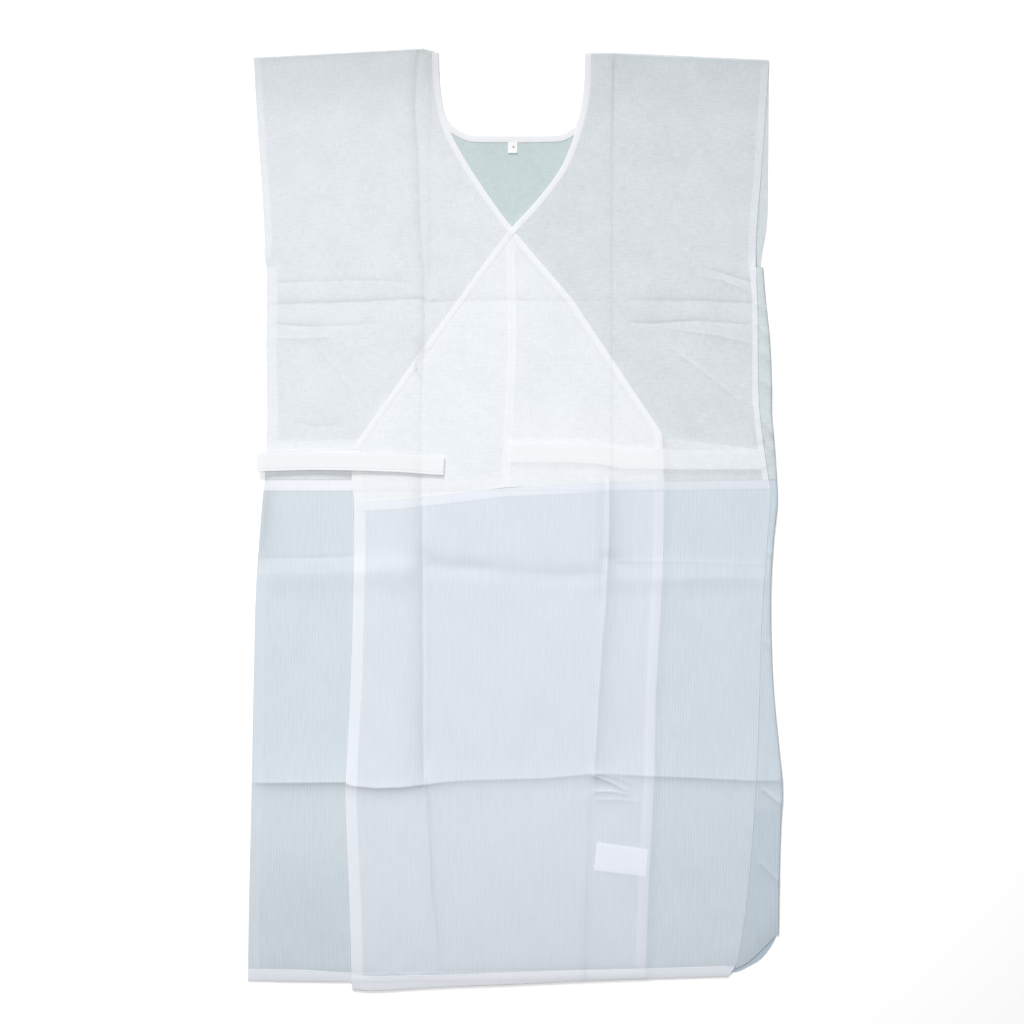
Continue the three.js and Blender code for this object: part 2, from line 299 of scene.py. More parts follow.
# %% [markdown]
# ## Fold marks
#
# The slip was packed folded in a small rectangle, so it keeps two long marks from shoulder to hem and
# three across. A fold mark is a ridge or a trough with a sharp middle and slopes that die away. Each mark
# also carries painted shade: its colour is darkened on one side, and on some a little lightened as
# painted light, as the light across the mark would shade it. So each mark has a height with a spread on
# each side, and a painted dimming with a reach on each side. Small wrinkles are short marks of the same kind.

# %% The fold marks
marks = []


def mark(points, height=0.0, spread=(4.0, 4.0), dim=(0.0, 0.0), reach=(4.0, 4.0),
         strength=None, soft=False):
    """One fold mark. Pairs are for the left and the right of the line, as it is drawn. Dim is painted shade,
    and painted light where it is below 0.
    """
    line = np.array(points, float)
    if strength is None:
        strength = np.ones(len(line))
    marks.append((line, height, spread, dim, reach, np.array(strength, float), soft))


LOW_SKIRT_SHADE = 0.035  # painted shade: the colour is a little darker towards the hem,
HIGH_BODICE_SHADE = 0.035  # and towards the shoulders,
SHOULDER_SHADE = 0.05  # and more so on the fold over each shoulder,
RIGHT_SHADE = 0.04  # most of all on the wearer's right
MARK_REACH = 6.0  # past this many spreads, a mark has died away


def relief_and_painted_shade(xy):
    """The height that the fold marks add at each point, and the painted shade: a factor on the cloth's
    colour, below 1 where shade is painted and above 1 where light is painted.
    """
    relief = np.zeros(len(xy))
    bright = np.ones(len(xy))
    for line, height, spread, dim, reach, strength, soft in marks:
        span = MARK_REACH * max(*spread, *reach)
        low, high = line.min(0) - span, line.max(0) + span
        near = np.all((xy > low) & (xy < high), axis=1)
        if not near.any():
            continue
        d, place = beside(xy[near], line)
        power = np.interp(place, np.arange(len(line)), strength)
        wide = np.where(d >= 0.0, spread[0], spread[1])
        shape = np.exp(-((d / wide) ** 2)) if soft else np.exp(-np.abs(d) / wide)
        relief[near] += height * power * shape
        left, right = (dim[k] * np.exp(-np.abs(d) / reach[k]) for k in (0, 1))
        bright[near] *= 1.0 - power * (right + (left - right) * ramp(d, -1.0, 1.0))
    x, y = xy[:, 0], xy[:, 1]
    # painted shade: darker towards the hem and the shoulders, on each shoulder fold, and most on the wearer's
    # right
    bright *= 1.0 - LOW_SKIRT_SHADE * ramp(y, -200.0, -560.0) - HIGH_BODICE_SHADE * ramp(y, 380.0, 560.0)
    bright *= 1.0 - (SHOULDER_SHADE + RIGHT_SHADE * ramp(x, 40.0, -40.0)) * ramp(y, 480.0, 555.0)
    return relief, bright

# %% The two long marks
# the one at lower x: a narrow dark line in the bodice, with a fainter one beside it
mark([(-118, 572), (-122, 530), (-123, 500), (-118.5, 440), (-116, 350), (-112, 300), (-111, 220),
      (-114, 165), (-115.5, 56)], height=-0.8, spread=(2, 5), dim=(0.05, 0.11), reach=(2, 5),
     strength=[1.0, 1.1, 1.2, 1.0, 0.9, 0.9, 0.9, 0.5, 0.3])
mark([(-103, 566), (-104, 530), (-103, 500), (-105, 440), (-104, 350), (-105, 300), (-108, 270)], height=-0.4,
     spread=(2, 3), dim=(0.06, 0.06), reach=(2, 3), strength=[1.2, 1.1, 1.0, 0.3, 0.9, 0.8, 0.3])
# in the skirt the cloth sinks towards the mark over a centimetre or two, and starts again paler
mark([(-115.5, 56), (-114.3, 22), (-113.5, -55), (-113.5, -121), (-113, -186), (-113, -255), (-112, -316)],
     height=-1.2, spread=(5, 10), dim=(-0.01, 0.12), reach=(3, 11),
     strength=[0.5, 1.1, 1.0, 1, 1.1, 1.1, 1.1])
mark([(-105, -60), (-105, -190), (-107, -290)], height=-0.3, spread=(4, 4), dim=(0.05, 0.05), reach=(3, 3),
     strength=[0.3, 1, 0.8])
# below the knee it is a thin ridge
mark([(-112, -316), (-108, -345), (-105, -406), (-103, -453), (-96.5, -500), (-95, -530), (-95, -562)],
     height=0.9, spread=(4, 4), dim=(0.08, 0.02), reach=(2.5, 4), strength=[1.1, 1.1, 1, 1, 1, 0.3, 0.1])
# the other one: narrow in the bodice, then a step with a shaded side, then a thin ridge
mark([(120.5, 569), (119, 507), (118, 440), (118, 46)], height=-0.6, spread=(4, 1.5), dim=(0.06, 0.08),
     reach=(3, 2), strength=[1.4, 1.2, 0.7, 0.5])
mark([(114, 44), (114, 0), (113, -40), (110, -100), (105.5, -150), (102.5, -200), (97.5, -280), (95.2, -313)],
     height=0.9, spread=(12, 5), dim=(0.14, -0.01), reach=(12, 3),
     strength=[1.0, 1.2, 1.2, 0.9, 0.9, 0.9, 0.8, 0.7])
mark([(106, 44), (105, -30), (103, -90)], height=-0.3, spread=(3, 3), dim=(0.06, 0.06), reach=(3, 4),
     strength=[1, 1, 0.6])
mark([(95.2, -313), (91.5, -345), (90, -380), (87.5, -460), (86.5, -530), (86.5, -557)], height=0.8,
     spread=(4, 4), dim=(-0.03, 0.10), reach=(3, 4), strength=[0.9, 1.0, 0.9, 1.1, 1.2, 1.0])

# %% The three marks across
# across the chest
mark([(-303, 263), (-251, 264.3), (-190, 266.2), (-141, 268.9), (-118, 270), (-104, 265), (-90, 266.5)],
     height=-1.0, spread=(3, 9), dim=(0.03, 0.06), reach=(2, 2.5), strength=[0.7, 1, 1, 0.8, 1.2, 0.8, 0.5])
mark([(-90, 267), (-20, 267.5), (40, 266), (110, 267)], height=-0.5, spread=(5, 8), dim=(0.02, 0.02),
     reach=(4, 8), strength=[0.8, 1, 0.9, 0.4])
mark([(140, 268), (180, 267.2), (230, 267), (289, 264)], height=-0.8, spread=(4, 8), dim=(0.03, 0.05),
     reach=(2, 3), strength=[0.5, 1, 1, 0.9])
# across the thighs, soft
mark([(-322, -66), (-250, -66), (-190, -64), (-130, -60)], height=1.6, spread=(16, 20), dim=(-0.025, 0.0),
     reach=(9, 9), soft=True)
mark([(-316, -47), (-250, -46.5), (-203, -45)], height=-0.5, spread=(4, 3), dim=(0.06, 0.03), reach=(4, 1.5),
     strength=[0.7, 1, 0.8])
mark([(124, -50), (180, -50), (250, -52), (308, -54)], height=0.5, spread=(3, 5), dim=(0.02, -0.03),
     reach=(3, 5), strength=[1, 1, 0.8, 0.5])
mark([(-108, -58), (-60, -58), (0, -64), (60, -68), (100, -66)], height=-1.0, spread=(10, 12), soft=True,
     dim=(0.04, 0.03), reach=(10, 10), strength=[1, 0.9, 0.6, 1, 0.8])
mark([(112, -74), (180, -73), (260, -71), (312, -72)], height=0.9, spread=(14, 12), soft=True,
     dim=(0.0, 0.03), reach=(6, 8), strength=[0.5, 1, 1, 0.6])
# across the knees, sharp
mark([(-324, -321), (-251, -320.5), (-208, -320), (-201, -324), (-170, -327), (-140, -326), (-112, -323),
      (-88, -319.5), (-56, -317.5), (36, -315), (92, -310), (110, -309.5), (152, -312), (217, -314.4),
      (286, -318), (325, -318)],
     height=2.0, spread=(30, 7), dim=(-0.02, 0.10), reach=(4, 3.2),
     strength=[1.4, 1.5, 1.5, 1.3, 1.5, 1.5, 1.4, 0.9, 0.8, 0.8, 0.8, 0.8, 0.8, 0.9, 0.8, 0.7])

# %% [markdown]
# ### Wrinkles
#
# Between the fold marks lie short wrinkles, where the cloth was creased as it was folded. They cluster at
# the side seams, where the marks cross, and at the hem's front corner. Noise could stand in for them, but
# each is placed one by one here, so that it starts and ends where cloth would really buckle.

# %% Wrinkles at the sides
mark([(-290, 289), (-240, 291), (-180, 292), (-130, 290)], height=-0.7, spread=(2.5, 4), dim=(0.04, 0.02),
     reach=(2.5, 3), strength=[1, 0.5, 0.6, 0.3])
mark([(-289, 238), (-262, 236), (-220, 236), (-170, 240)], height=-0.8, spread=(2.5, 4), dim=(0.05, 0.02),
     reach=(2.5, 4), strength=[1, 1, 0.6, 0.2])
mark([(-292, 222), (-262, 221), (-230, 223)], height=0.4, spread=(3, 4), dim=(0.0, 0.03), reach=(3, 4))
mark([(228, 308), (258, 299), (286, 290)], height=-0.7, spread=(2.5, 3), dim=(0.05, 0.03), reach=(2.5, 3),
     strength=[0.3, 1, 1])
mark([(222, 297), (250, 293), (284, 279)], height=0.5, spread=(3, 3), dim=(0.0, 0.04), reach=(3, 3),
     strength=[0.3, 1, 0.7])
mark([(140, 241), (165, 239), (220, 243), (284, 238)], height=-0.7, spread=(2.5, 4), dim=(0.05, 0.03),
     reach=(2.5, 3), strength=[0.5, 1, 0.9, 0.6])
mark([(186, 233), (240, 226), (286, 215)], height=0.5, spread=(3, 3), dim=(0.0, 0.045), reach=(3, 3),
     strength=[0.3, 1, 0.7])
mark([(184, 213), (230, 180), (272, 146)], height=0.5, spread=(2, 3), dim=(-0.03, 0.02), reach=(2, 3),
     strength=[0.5, 1, 0.6])
mark([(-235, 205), (-218, 183), (-203, 160)], height=0.4, spread=(3, 4), dim=(0.0, 0.02), reach=(3, 4))
mark([(-262, 118), (-246, 113), (-222, 115)], height=-0.5, spread=(4, 4), dim=(0.03, 0.02), reach=(4, 4))
# the rolled side is crumpled where the cloth turns
for low_end, high_end, power in (
        ((294, 262), (309, 253), 0.8), ((296, 236), (308, 224), 1.0), ((298, 205), (311, 194), 0.7),
        ((299, 172), (311, 160), 0.9), ((303, 122), (313, 104), 1.2), ((301, 98), (314, 84), 1.0),
        ((309, -40), (319, -52), 0.7), ((306, -150), (318, -165), 0.6), ((303, -330), (321, -345), 0.9),
        ((300, -420), (320, -440), 0.7)):
    mark([low_end, high_end], height=0.9 * power, spread=(3, 4), dim=(-0.03, 0.12 * power), reach=(3, 4))

# %% Wrinkles where the marks cross, and at the hem
# a crumple where the knee mark meets a long mark
mark([(95, -312), (116, -320), (134, -330)], height=1.0, spread=(4, 2.5), dim=(-0.05, 0.08), reach=(2.5, 3),
     strength=[0.8, 1.1, 0.5])
mark([(97, -331), (116, -331), (137, -335)], height=0.8, spread=(2.5, 4), dim=(-0.05, 0.04), reach=(2.5, 3),
     strength=[0.8, 1, 0.5])
mark([(98, -309), (120, -314), (141, -322)], height=0.6, spread=(5, 3), dim=(-0.02, 0.06), reach=(3, 2.5),
     strength=[1, 0.8, 0.5])
mark([(98, -341), (126, -341), (152, -344)], height=0.4, spread=(3, 4), dim=(-0.04, 0.02), reach=(2.5, 3),
     strength=[0.6, 1, 0.5])
# where a long mark runs under the binding, and small dark hollows by the thigh marks
mark([(-121, 218), (-114, 204), (-122, 187), (-116, 170)], height=-0.8, spread=(3, 3), dim=(0.10, 0.12),
     reach=(3, 3), strength=[0.4, 1.0, 1.4, 0.4])
mark([(-112, -44), (-98, -49), (-82, -50)], height=-0.8, spread=(9, 10), dim=(0.035, 0.035), reach=(8, 8),
     strength=[1, 1, 0.1], soft=True)
mark([(-84, -57), (-55, -58), (-20, -59)], height=-0.5, spread=(8, 9), dim=(0.02, 0.02), reach=(8, 8),
     strength=[0.2, 1, 0.1], soft=True)
mark([(112, -46), (126, -52), (148, -58)], height=-0.8, spread=(8, 9), dim=(0.045, 0.03), reach=(7, 7),
     strength=[1, 1, 0.1], soft=True)
mark([(-130, -322), (-116, -326), (-106, -321)], height=-0.6, spread=(3, 4), dim=(0.03, 0.08), reach=(2, 4),
     strength=[0.3, 1, 0.3])
# painted shade at the hip: a mark with no height, only a darkening
mark([(-303, 33), (-305, 0), (-308, -34)], dim=(0.15, 0.15), reach=(10, 10), strength=[0.9, 1, 0.9])
# the overlap's hem is wavy near its front corner
mark([(-172, -556), (-150, -551), (-128, -556), (-100, -551), (-84, -556)], height=0.8, spread=(3, 4),
     dim=(0.03, -0.05), reach=(3, 4), strength=[0.3, 1, 1, 1, 0.3])
mark([(-150, -566), (-122, -562), (-96, -563)], height=-0.5, spread=(3, 3), dim=(0.0, 0.04), reach=(3, 3),
     strength=[0.3, 1, 0.4])
# and a hollow beside the shoulder's peak
mark([(-114, 566), (-106, 545), (-112, 520)], height=-0.8, spread=(6, 5), dim=(0.06, 0.05), reach=(7, 7),
     strength=[1, 1, 0.3])
print(len(marks), "fold marks")

# %% [markdown]
# ## How high each layer lies
#
# A pressed garment is only a few millimetres thick, but the layers still cast thin shadows on each other.
# The back lies on the table. The underlap lies on the back, and the overlap rides over the underlap, its
# neck binding, and the tie and label hidden between them. Near a free edge each layer comes down to the
# one below it. The two fronts share the same fold marks, so they never cut through each other. In every
# name, left and right are the wearer's, so left is towards +X.

# %% Each layer's ring, with the seams closed
CLOTH = 0.36  # thickness of one layer
Z_UNDER_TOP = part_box("skirt_front_right")[1][2] / MM
Z_OVER_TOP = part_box("skirt_front_left")[1][2] / MM

ring_back = rings("body", 0.0, -1)[0]
ring_back_skirt = rings("skirt_back", 0.0, -1)[0]
ring_right_front = rings("body", Z_UNDER_TOP, 1)[0]
ring_left_front, ring_side_strip = rings("body", Z_OVER_TOP, 1)[:2]
ring_skirt_strip = rings("skirt_back", Z_OVER_TOP, 1)[0]
ring_right_panel = rings("overlap_panel_right", Z_UNDER_TOP, 1)[0]
ring_left_panel = rings("overlap_panel_left", Z_OVER_TOP, 1)[0]
ring_under_skirt = rings("skirt_front_right", Z_UNDER_TOP, 1)[0]
ring_over_skirt = rings("skirt_front_left", Z_OVER_TOP, 1)[0]

SEAM_REACH = 0.7  # seams in the frame are gaps narrower than this
SEAM_LEFT_OPEN = 0.02


def meet(ring, other):
    """Closes the small gap that the frame leaves at a seam, half from each side."""
    line = np.vstack([other, other[:1]])
    moved = ring.copy()
    for a, b in zip(line[:-1], line[1:]):
        ab = b - a
        t = np.clip(((ring - a) @ ab) / max(float(ab @ ab), 1e-9), 0.0, 1.0)
        off = a + t[:, None] * ab - ring
        d = np.hypot(*off.T)
        near = (d > 0.05) & (d < SEAM_REACH)
        moved[near] = ring[near] + off[near] * ((d[near] / 2 - SEAM_LEFT_OPEN) / d[near])[:, None]
    return moved


ring_left_front, ring_left_panel = (
    meet(ring_left_front, ring_left_panel), meet(ring_left_panel, ring_left_front))
ring_right_front, ring_right_panel = (
    meet(ring_right_front, ring_right_panel), meet(ring_right_panel, ring_right_front))
ring_over_skirt, ring_left_panel, ring_left_front = (
    meet(meet(ring_over_skirt, ring_left_panel), ring_left_front),
    meet(ring_left_panel, ring_over_skirt), meet(ring_left_front, ring_over_skirt))
ring_over_skirt = meet(ring_over_skirt, ring_skirt_strip)

# %% Edges, seams and folds
# the ends of each fold, then the points where the neck's and the armhole's edges end
RIGHT_SHOULDER = (-95.3, 568.4), (-319.3, 562.0)
LEFT_SHOULDER = (309.0, 557.9), (85.8, 566.4)
SIDE = (315.4, 48.8), (298.4, 308.0)
SKIRT_SIDE = (317.9, -506.5), (315.4, 48.5)
ARMHOLE_FOOT = (292.2, 308.0)
OVER_CROSSING = (-6.3, 354.0)
UNDER_CROSSING = (-5.8, 357.0)
OPEN_CORNER = (320.4, -506.5)

# the underlap's whole front edge: bound neckline, then the folded edge down to the hem
under_neck = stretch(
    ring_right_panel, corner(ring_right_panel, 1, -1), corner(ring_right_panel, -1, 2.5))[::-1]
under_edge = stretch(ring_under_skirt, corner(ring_under_skirt, 1, -1), corner(ring_under_skirt, 1, 1))[::-1]
UNDER_LINE = np.vstack([under_neck, under_edge[1:]])
print("underlap edge from", UNDER_LINE[0], "to", UNDER_LINE[-1])

RIGHT_SIDE = stretch(ring_right_front, corner(ring_right_front, -1, 1), corner(ring_right_front, -1, -1))
RIGHT_SKIRT_SIDE = stretch(
    ring_under_skirt, corner(ring_under_skirt, -1, 1), corner(ring_under_skirt, -1, -1))
UNDER_HEM = stretch(ring_under_skirt, corner(ring_under_skirt, -1, -1), corner(ring_under_skirt, 1, -1))
UNDER_WAIST = stretch(ring_under_skirt, corner(ring_under_skirt, 1, 1), corner(ring_under_skirt, -1, 1))
OVER_EDGE = stretch(ring_over_skirt, corner(ring_over_skirt, -1, 2), corner(ring_over_skirt, -1, -2))
OVER_HEM = stretch(ring_over_skirt, corner(ring_over_skirt, -1, -2), corner(ring_over_skirt, 1, -2))
OVER_WAIST = stretch(ring_over_skirt, corner(ring_over_skirt, 1, 1), corner(ring_over_skirt, -1, 2))
PANEL_EDGE = stretch(ring_left_panel, corner(ring_left_panel, -1, 2), corner(ring_left_panel, -1, -1))
CENTRE_SEAM = stretch(ring_left_panel, corner(ring_left_panel, 1, -1), corner(ring_left_panel, 1, 2))[::-1]
BACK_NECK = stretch(ring_back, RIGHT_SHOULDER[0], LEFT_SHOULDER[1])
SIDE_SEAM = stretch(ring_left_front, corner(ring_left_front, 1, -1), ARMHOLE_FOOT)
LEFT_NECK = stretch(ring_left_front, LEFT_SHOULDER[1], OVER_CROSSING)
RIGHT_NECK = stretch(ring_right_front, UNDER_CROSSING, RIGHT_SHOULDER[0])[::-1]
BOUND_EDGES = (LEFT_NECK, PANEL_EDGE, RIGHT_NECK, under_neck)
FRONT_ARMHOLE = stretch(ring_left_front, ARMHOLE_FOOT, corner(ring_left_front, 1, 1))
BACK_ARMHOLE = stretch(ring_back, LEFT_SHOULDER[0], SIDE[1])
SIDE_FOLD = stretch(ring_side_strip, corner(ring_side_strip, 1, -1), SIDE[1])
SKIRT_FOLD = stretch(ring_skirt_strip, OPEN_CORNER, corner(ring_skirt_strip, 0.2, 1))
SHOULDER_RIGHT = stretch(ring_right_front, *RIGHT_SHOULDER)
SHOULDER_LEFT = stretch(ring_left_front, *LEFT_SHOULDER)
CORNER_EDGE = stretch(ring_skirt_strip, corner(ring_skirt_strip, -0.3, -1), OPEN_CORNER)

# %% Hems and allowances
def drawn_up(line, stops):
    """A line moved to its left by a distance that changes along x. Stops are (x, distance)."""
    even = spaced(line, set(), 10.0, closed=False)
    ahead = np.gradient(even, axis=0)
    ahead /= np.hypot(*ahead.T)[:, None]
    far = np.interp(even[:, 0], *np.transpose(stops))
    return even + far[:, None] * np.stack([-ahead[:, 1], ahead[:, 0]], 1)


HEM = 12.0  # a hem is this deep at least, and deeper towards the wearer's right
FRONT_HEM = 14.0
ARMHOLE_HEM = 9.0
SEAM_ALLOWANCE = 13.0
WAIST_ALLOWANCE = 11.0
UNDER_HEM_TOP = drawn_up(UNDER_HEM, [(-260, 14.5), (-232, 13.0), (-210, HEM)])
OVER_HEM_TOP = drawn_up(
    OVER_HEM, [(-165, 18.0), (-120, 16.0), (-80, 14.5), (5, 14.5), (103, 13.0), (200, 12.5)])
# each hem has a shallow hollow above its stitches, painted darker on one side and a little lighter on the
# other, and painted shade along its edge, where it rounds down
for hem_edge, hem_top in ((UNDER_HEM, UNDER_HEM_TOP), (OVER_HEM, OVER_HEM_TOP)):
    mark(hem_top, height=-0.2, spread=(3, 2), dim=(0.035, -0.025), reach=(3, 3))
    mark(hem_edge, dim=(0.10, 0.10), reach=(3, 3))
# below each waist seam, the allowance inside ends in a faint step, with a thin line of painted shade along it
for waist, depth in ((OVER_WAIST, WAIST_ALLOWANCE + 0.5), (UNDER_WAIST, WAIST_ALLOWANCE + 2.5)):
    mark(shifted(waist, depth), height=-0.15, spread=(2, 1), dim=(0.045, 0.02), reach=(2, 1))

# %% Where the inner tie and the care label lie
INNER_TIE = np.array([(-5.7, 81.6), (60, 81.6), (100, 80), (130, 74), (200, 73), (297, 73)], float)
INNER_TIE_START = np.array([(181.6, 88), (297, 74)], float)
TIE_WIDTH = 23.0
LABEL_RING = rings("label_care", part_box("label_care")[1][2] / MM, 1)[0]
TIE_LEG = (181.6, 296.0)  # where the tie's lower leg starts and ends


def from_edge(xy, line):
    """How far each point is from a line, on either side."""
    return np.abs(beside(xy, line)[0])


def under_side(xy):
    """How far a point lies past the underlap's front edge. Negative over the underlap."""
    return beside(xy, UNDER_LINE)[0]


def tie_cover(xy, soft=0.5, grow=0.0):
    """1 over the inner tie."""
    half = TIE_WIDTH / 2 + grow
    long = ramp(xy[:, 0], INNER_TIE[0, 0] - grow - soft, INNER_TIE[0, 0] - grow + soft)
    return long * ramp(from_edge(xy, INNER_TIE), half + soft, half - soft)


def tie_start_cover(xy, soft=0.5):
    """1 over the inner tie's lower leg, which shows beside the upper one."""
    half = TIE_WIDTH / 2
    return band(xy[:, 0], *TIE_LEG) * ramp(from_edge(xy, INNER_TIE_START), half + soft, half - soft)


def label_cover(xy, soft=0.5):
    """1 over the care label."""
    d, _ = beside(xy, np.vstack([LABEL_RING, LABEL_RING[:1]]))
    d = np.where(inside(xy, LABEL_RING), -np.abs(d), np.abs(d))
    return ramp(d, soft, -soft)

# %% Height of each layer, at the middle of its thickness
BACK_REST = 0.25
UNDER_REST = 1.9
OVER_REST = 2.3  # over the back alone,
OVER_STEP = 1.1  # and this much higher over the underlap
UNDERLAP_SLOPE = 10.0  # the width over which it climbs
OVER_LOW = 0.95, 0.45  # the same rest and step, where the overlap is pressed flat


def ripple(xy):
    """A slow, uneven swell, so that no panel is quite flat."""
    x, y = xy[:, 0] / 100.0, xy[:, 1] / 100.0
    return (0.16 * np.sin(2.1 * x + 1.3 * y + 0.6) + 0.13 * np.sin(-1.2 * x + 2.9 * y + 2.0)
            + 0.09 * np.sin(5.3 * x - 3.1 * y + 1.0) + 0.07 * np.sin(7.7 * x + 6.1 * y + 4.0))


def bound_drop(xy):
    """The cloth is pressed down along its bound neckline."""
    return 0.45 * np.exp(-np.minimum.reduce([from_edge(xy, edge) for edge in BOUND_EDGES]) / 9.0)


def back_height(xy):
    """Flat on the table, and lifted a little where the neck binding wraps its edge."""
    return BACK_REST + 0.75 * np.exp(-from_edge(xy, BACK_NECK) / 5.0)


def under_height(xy):
    """Its side edges and its hem come down to the back, and are held flat."""
    relief, _ = relief_and_painted_shade(xy)
    sides = np.minimum(from_edge(xy, RIGHT_SIDE), from_edge(xy, RIGHT_SKIRT_SIDE))
    hem = from_edge(xy, UNDER_HEM)
    sewn = ramp(xy[:, 1], 330.0, 300.0)  # below the armhole the side seam holds the edges together
    drop = (0.9 + 0.3 * sewn) * np.exp(-sides / 12.0) + 1.0 * np.exp(-hem / 16.0)
    drop = np.minimum(drop, 1.2) + bound_drop(xy)
    hold = 1.0 - np.exp(-np.minimum(sides, hem) / 9.0)
    return UNDER_REST - drop + hold * (0.8 * relief + 0.8 * ripple(xy))


def over_height(xy):
    """It rides over the underlap and what lies on it, and rounds over where the side rolls forward."""
    relief, _ = relief_and_painted_shade(xy)
    past = under_side(xy)
    climb = ramp(past, UNDERLAP_SLOPE, 0.0)
    base = OVER_REST + OVER_STEP * climb
    bound = 0.7 * band(past, -8.0, 0.0, 2.0) * (xy[:, 1] > 80)
    hemmed = 0.25 * band(past, -12.0, 0.0, 1.0) * (xy[:, 1] < 60)
    tie = np.maximum(0.7 * tie_cover(xy, 2.5, 2.0), 0.45 * tie_start_cover(xy, 4.0))
    rise = np.maximum(np.maximum(bound, hemmed), np.maximum(tie, 0.2 * label_cover(xy, 2.0)))
    drop = 0.7 * np.exp(-from_edge(xy, OVER_EDGE) / 9.0) + bound_drop(xy)
    roll = 0.9 * np.exp(-np.minimum(from_edge(xy, SIDE_FOLD), from_edge(xy, SKIRT_FOLD)) / 14.0)
    height = base + rise - drop + roll + relief + ripple(xy)
    # the hem, the armhole and the open corner lie almost on the layer below
    lying = OVER_LOW[0] + OVER_LOW[1] * climb
    armhole = np.exp(-from_edge(xy, FRONT_ARMHOLE) / 24.0) * ramp(xy[:, 1], 300.0, 350.0)
    near = np.maximum.reduce([armhole, np.exp(-from_edge(xy, CORNER_EDGE) / 15.0),
                              np.exp(-from_edge(xy, OVER_HEM) / 20.0)])
    return height + (lying - height) * near

# %% [markdown]
# ## From outline to cloth
#
# A piece of cloth could be one plane with a solidify modifier. Here each piece is filled with triangles
# by Delaunay triangulation instead, because that takes any outline and lets us put rows of points just
# where the form or the colour changes: beside fold marks, along hems, round the hidden tie. Each point
# then gets its height, and becomes a pair, one on each face of the cloth. The rim between the faces is
# closed, so the piece is a solid sheet.

# %% Fill an outline with points
SNAP = 50.0  # points are held to a fiftieth of a millimetre, so that patches meet exactly


def clear_of(points, others, room):
    """Which of the points have no other point within this distance."""
    tree = kdtree.KDTree(len(others))
    for i, (x, y) in enumerate(others):
        tree.insert((x, y, 0.0), i)
    tree.balance()
    return np.array([tree.find((x, y, 0.0))[2] > room for x, y in points], bool)


def filled(ring, pins, step, rails, edge_step):
    """Points and triangles inside a ring. Rails are (line, offsets) that the points must follow."""
    soft_ring, held = soften(ring, pins)
    border = np.round(spaced(soft_ring, held, edge_step) * SNAP) / SNAP
    wanted = []
    for line, offsets in rails:
        dense = spaced(np.array(line, float), set(), 3.0, closed=False)
        wanted += [shifted(dense, offset) for offset in offsets]
    if wanted:
        wanted = np.vstack(wanted)
        _, first = np.unique(np.round(wanted / 0.45).astype(int), axis=0, return_index=True)
        wanted = wanted[np.sort(first)]
        wanted = wanted[inside(wanted, border)]
    else:
        wanted = np.zeros((0, 2))
    low, high = border.min(0), border.max(0)
    rows = np.arange(low[1] + step / 2, high[1], step * 0.87)
    grid = []
    for i, y in enumerate(rows):
        xs = np.arange(low[0] + step * (0.25 + 0.5 * (i % 2)), high[0], step)
        grid.append(np.stack([xs, np.full(len(xs), y)], 1))
    grid = np.vstack(grid)
    grid = grid[inside(grid, border)]
    if len(wanted):
        wanted = wanted[clear_of(wanted, border, 0.5)]
        grid = grid[clear_of(grid, np.vstack([border, wanted]), 0.55 * step)]
    else:
        grid = grid[clear_of(grid, border, 0.55 * step)]
    points = np.round(np.vstack([border, wanted, grid]) * SNAP) / SNAP
    found = delaunay_2d_cdt([Vector(p) for p in points], [], [list(range(len(border)))], 1, 1e-5)
    xy = np.array([tuple(p) for p in found[0]])
    triangles = np.array([f for f in found[2] if len(f) == 3])
    a, b, c = (xy[triangles[:, k]] for k in range(3))
    area = (b[:, 0] - a[:, 0]) * (c[:, 1] - a[:, 1]) - (c[:, 0] - a[:, 0]) * (b[:, 1] - a[:, 1])
    triangles[area < 0] = triangles[area < 0][:, ::-1]
    return xy, triangles[np.abs(area) > 1e-6], border


def mark_rails():
    """Rows of points on both sides of every sharp fold mark."""
    return [(line, (-6.0, -3.0, -1.2, 0.0, 1.2, 3.0, 6.0)) for line, *_ in marks]

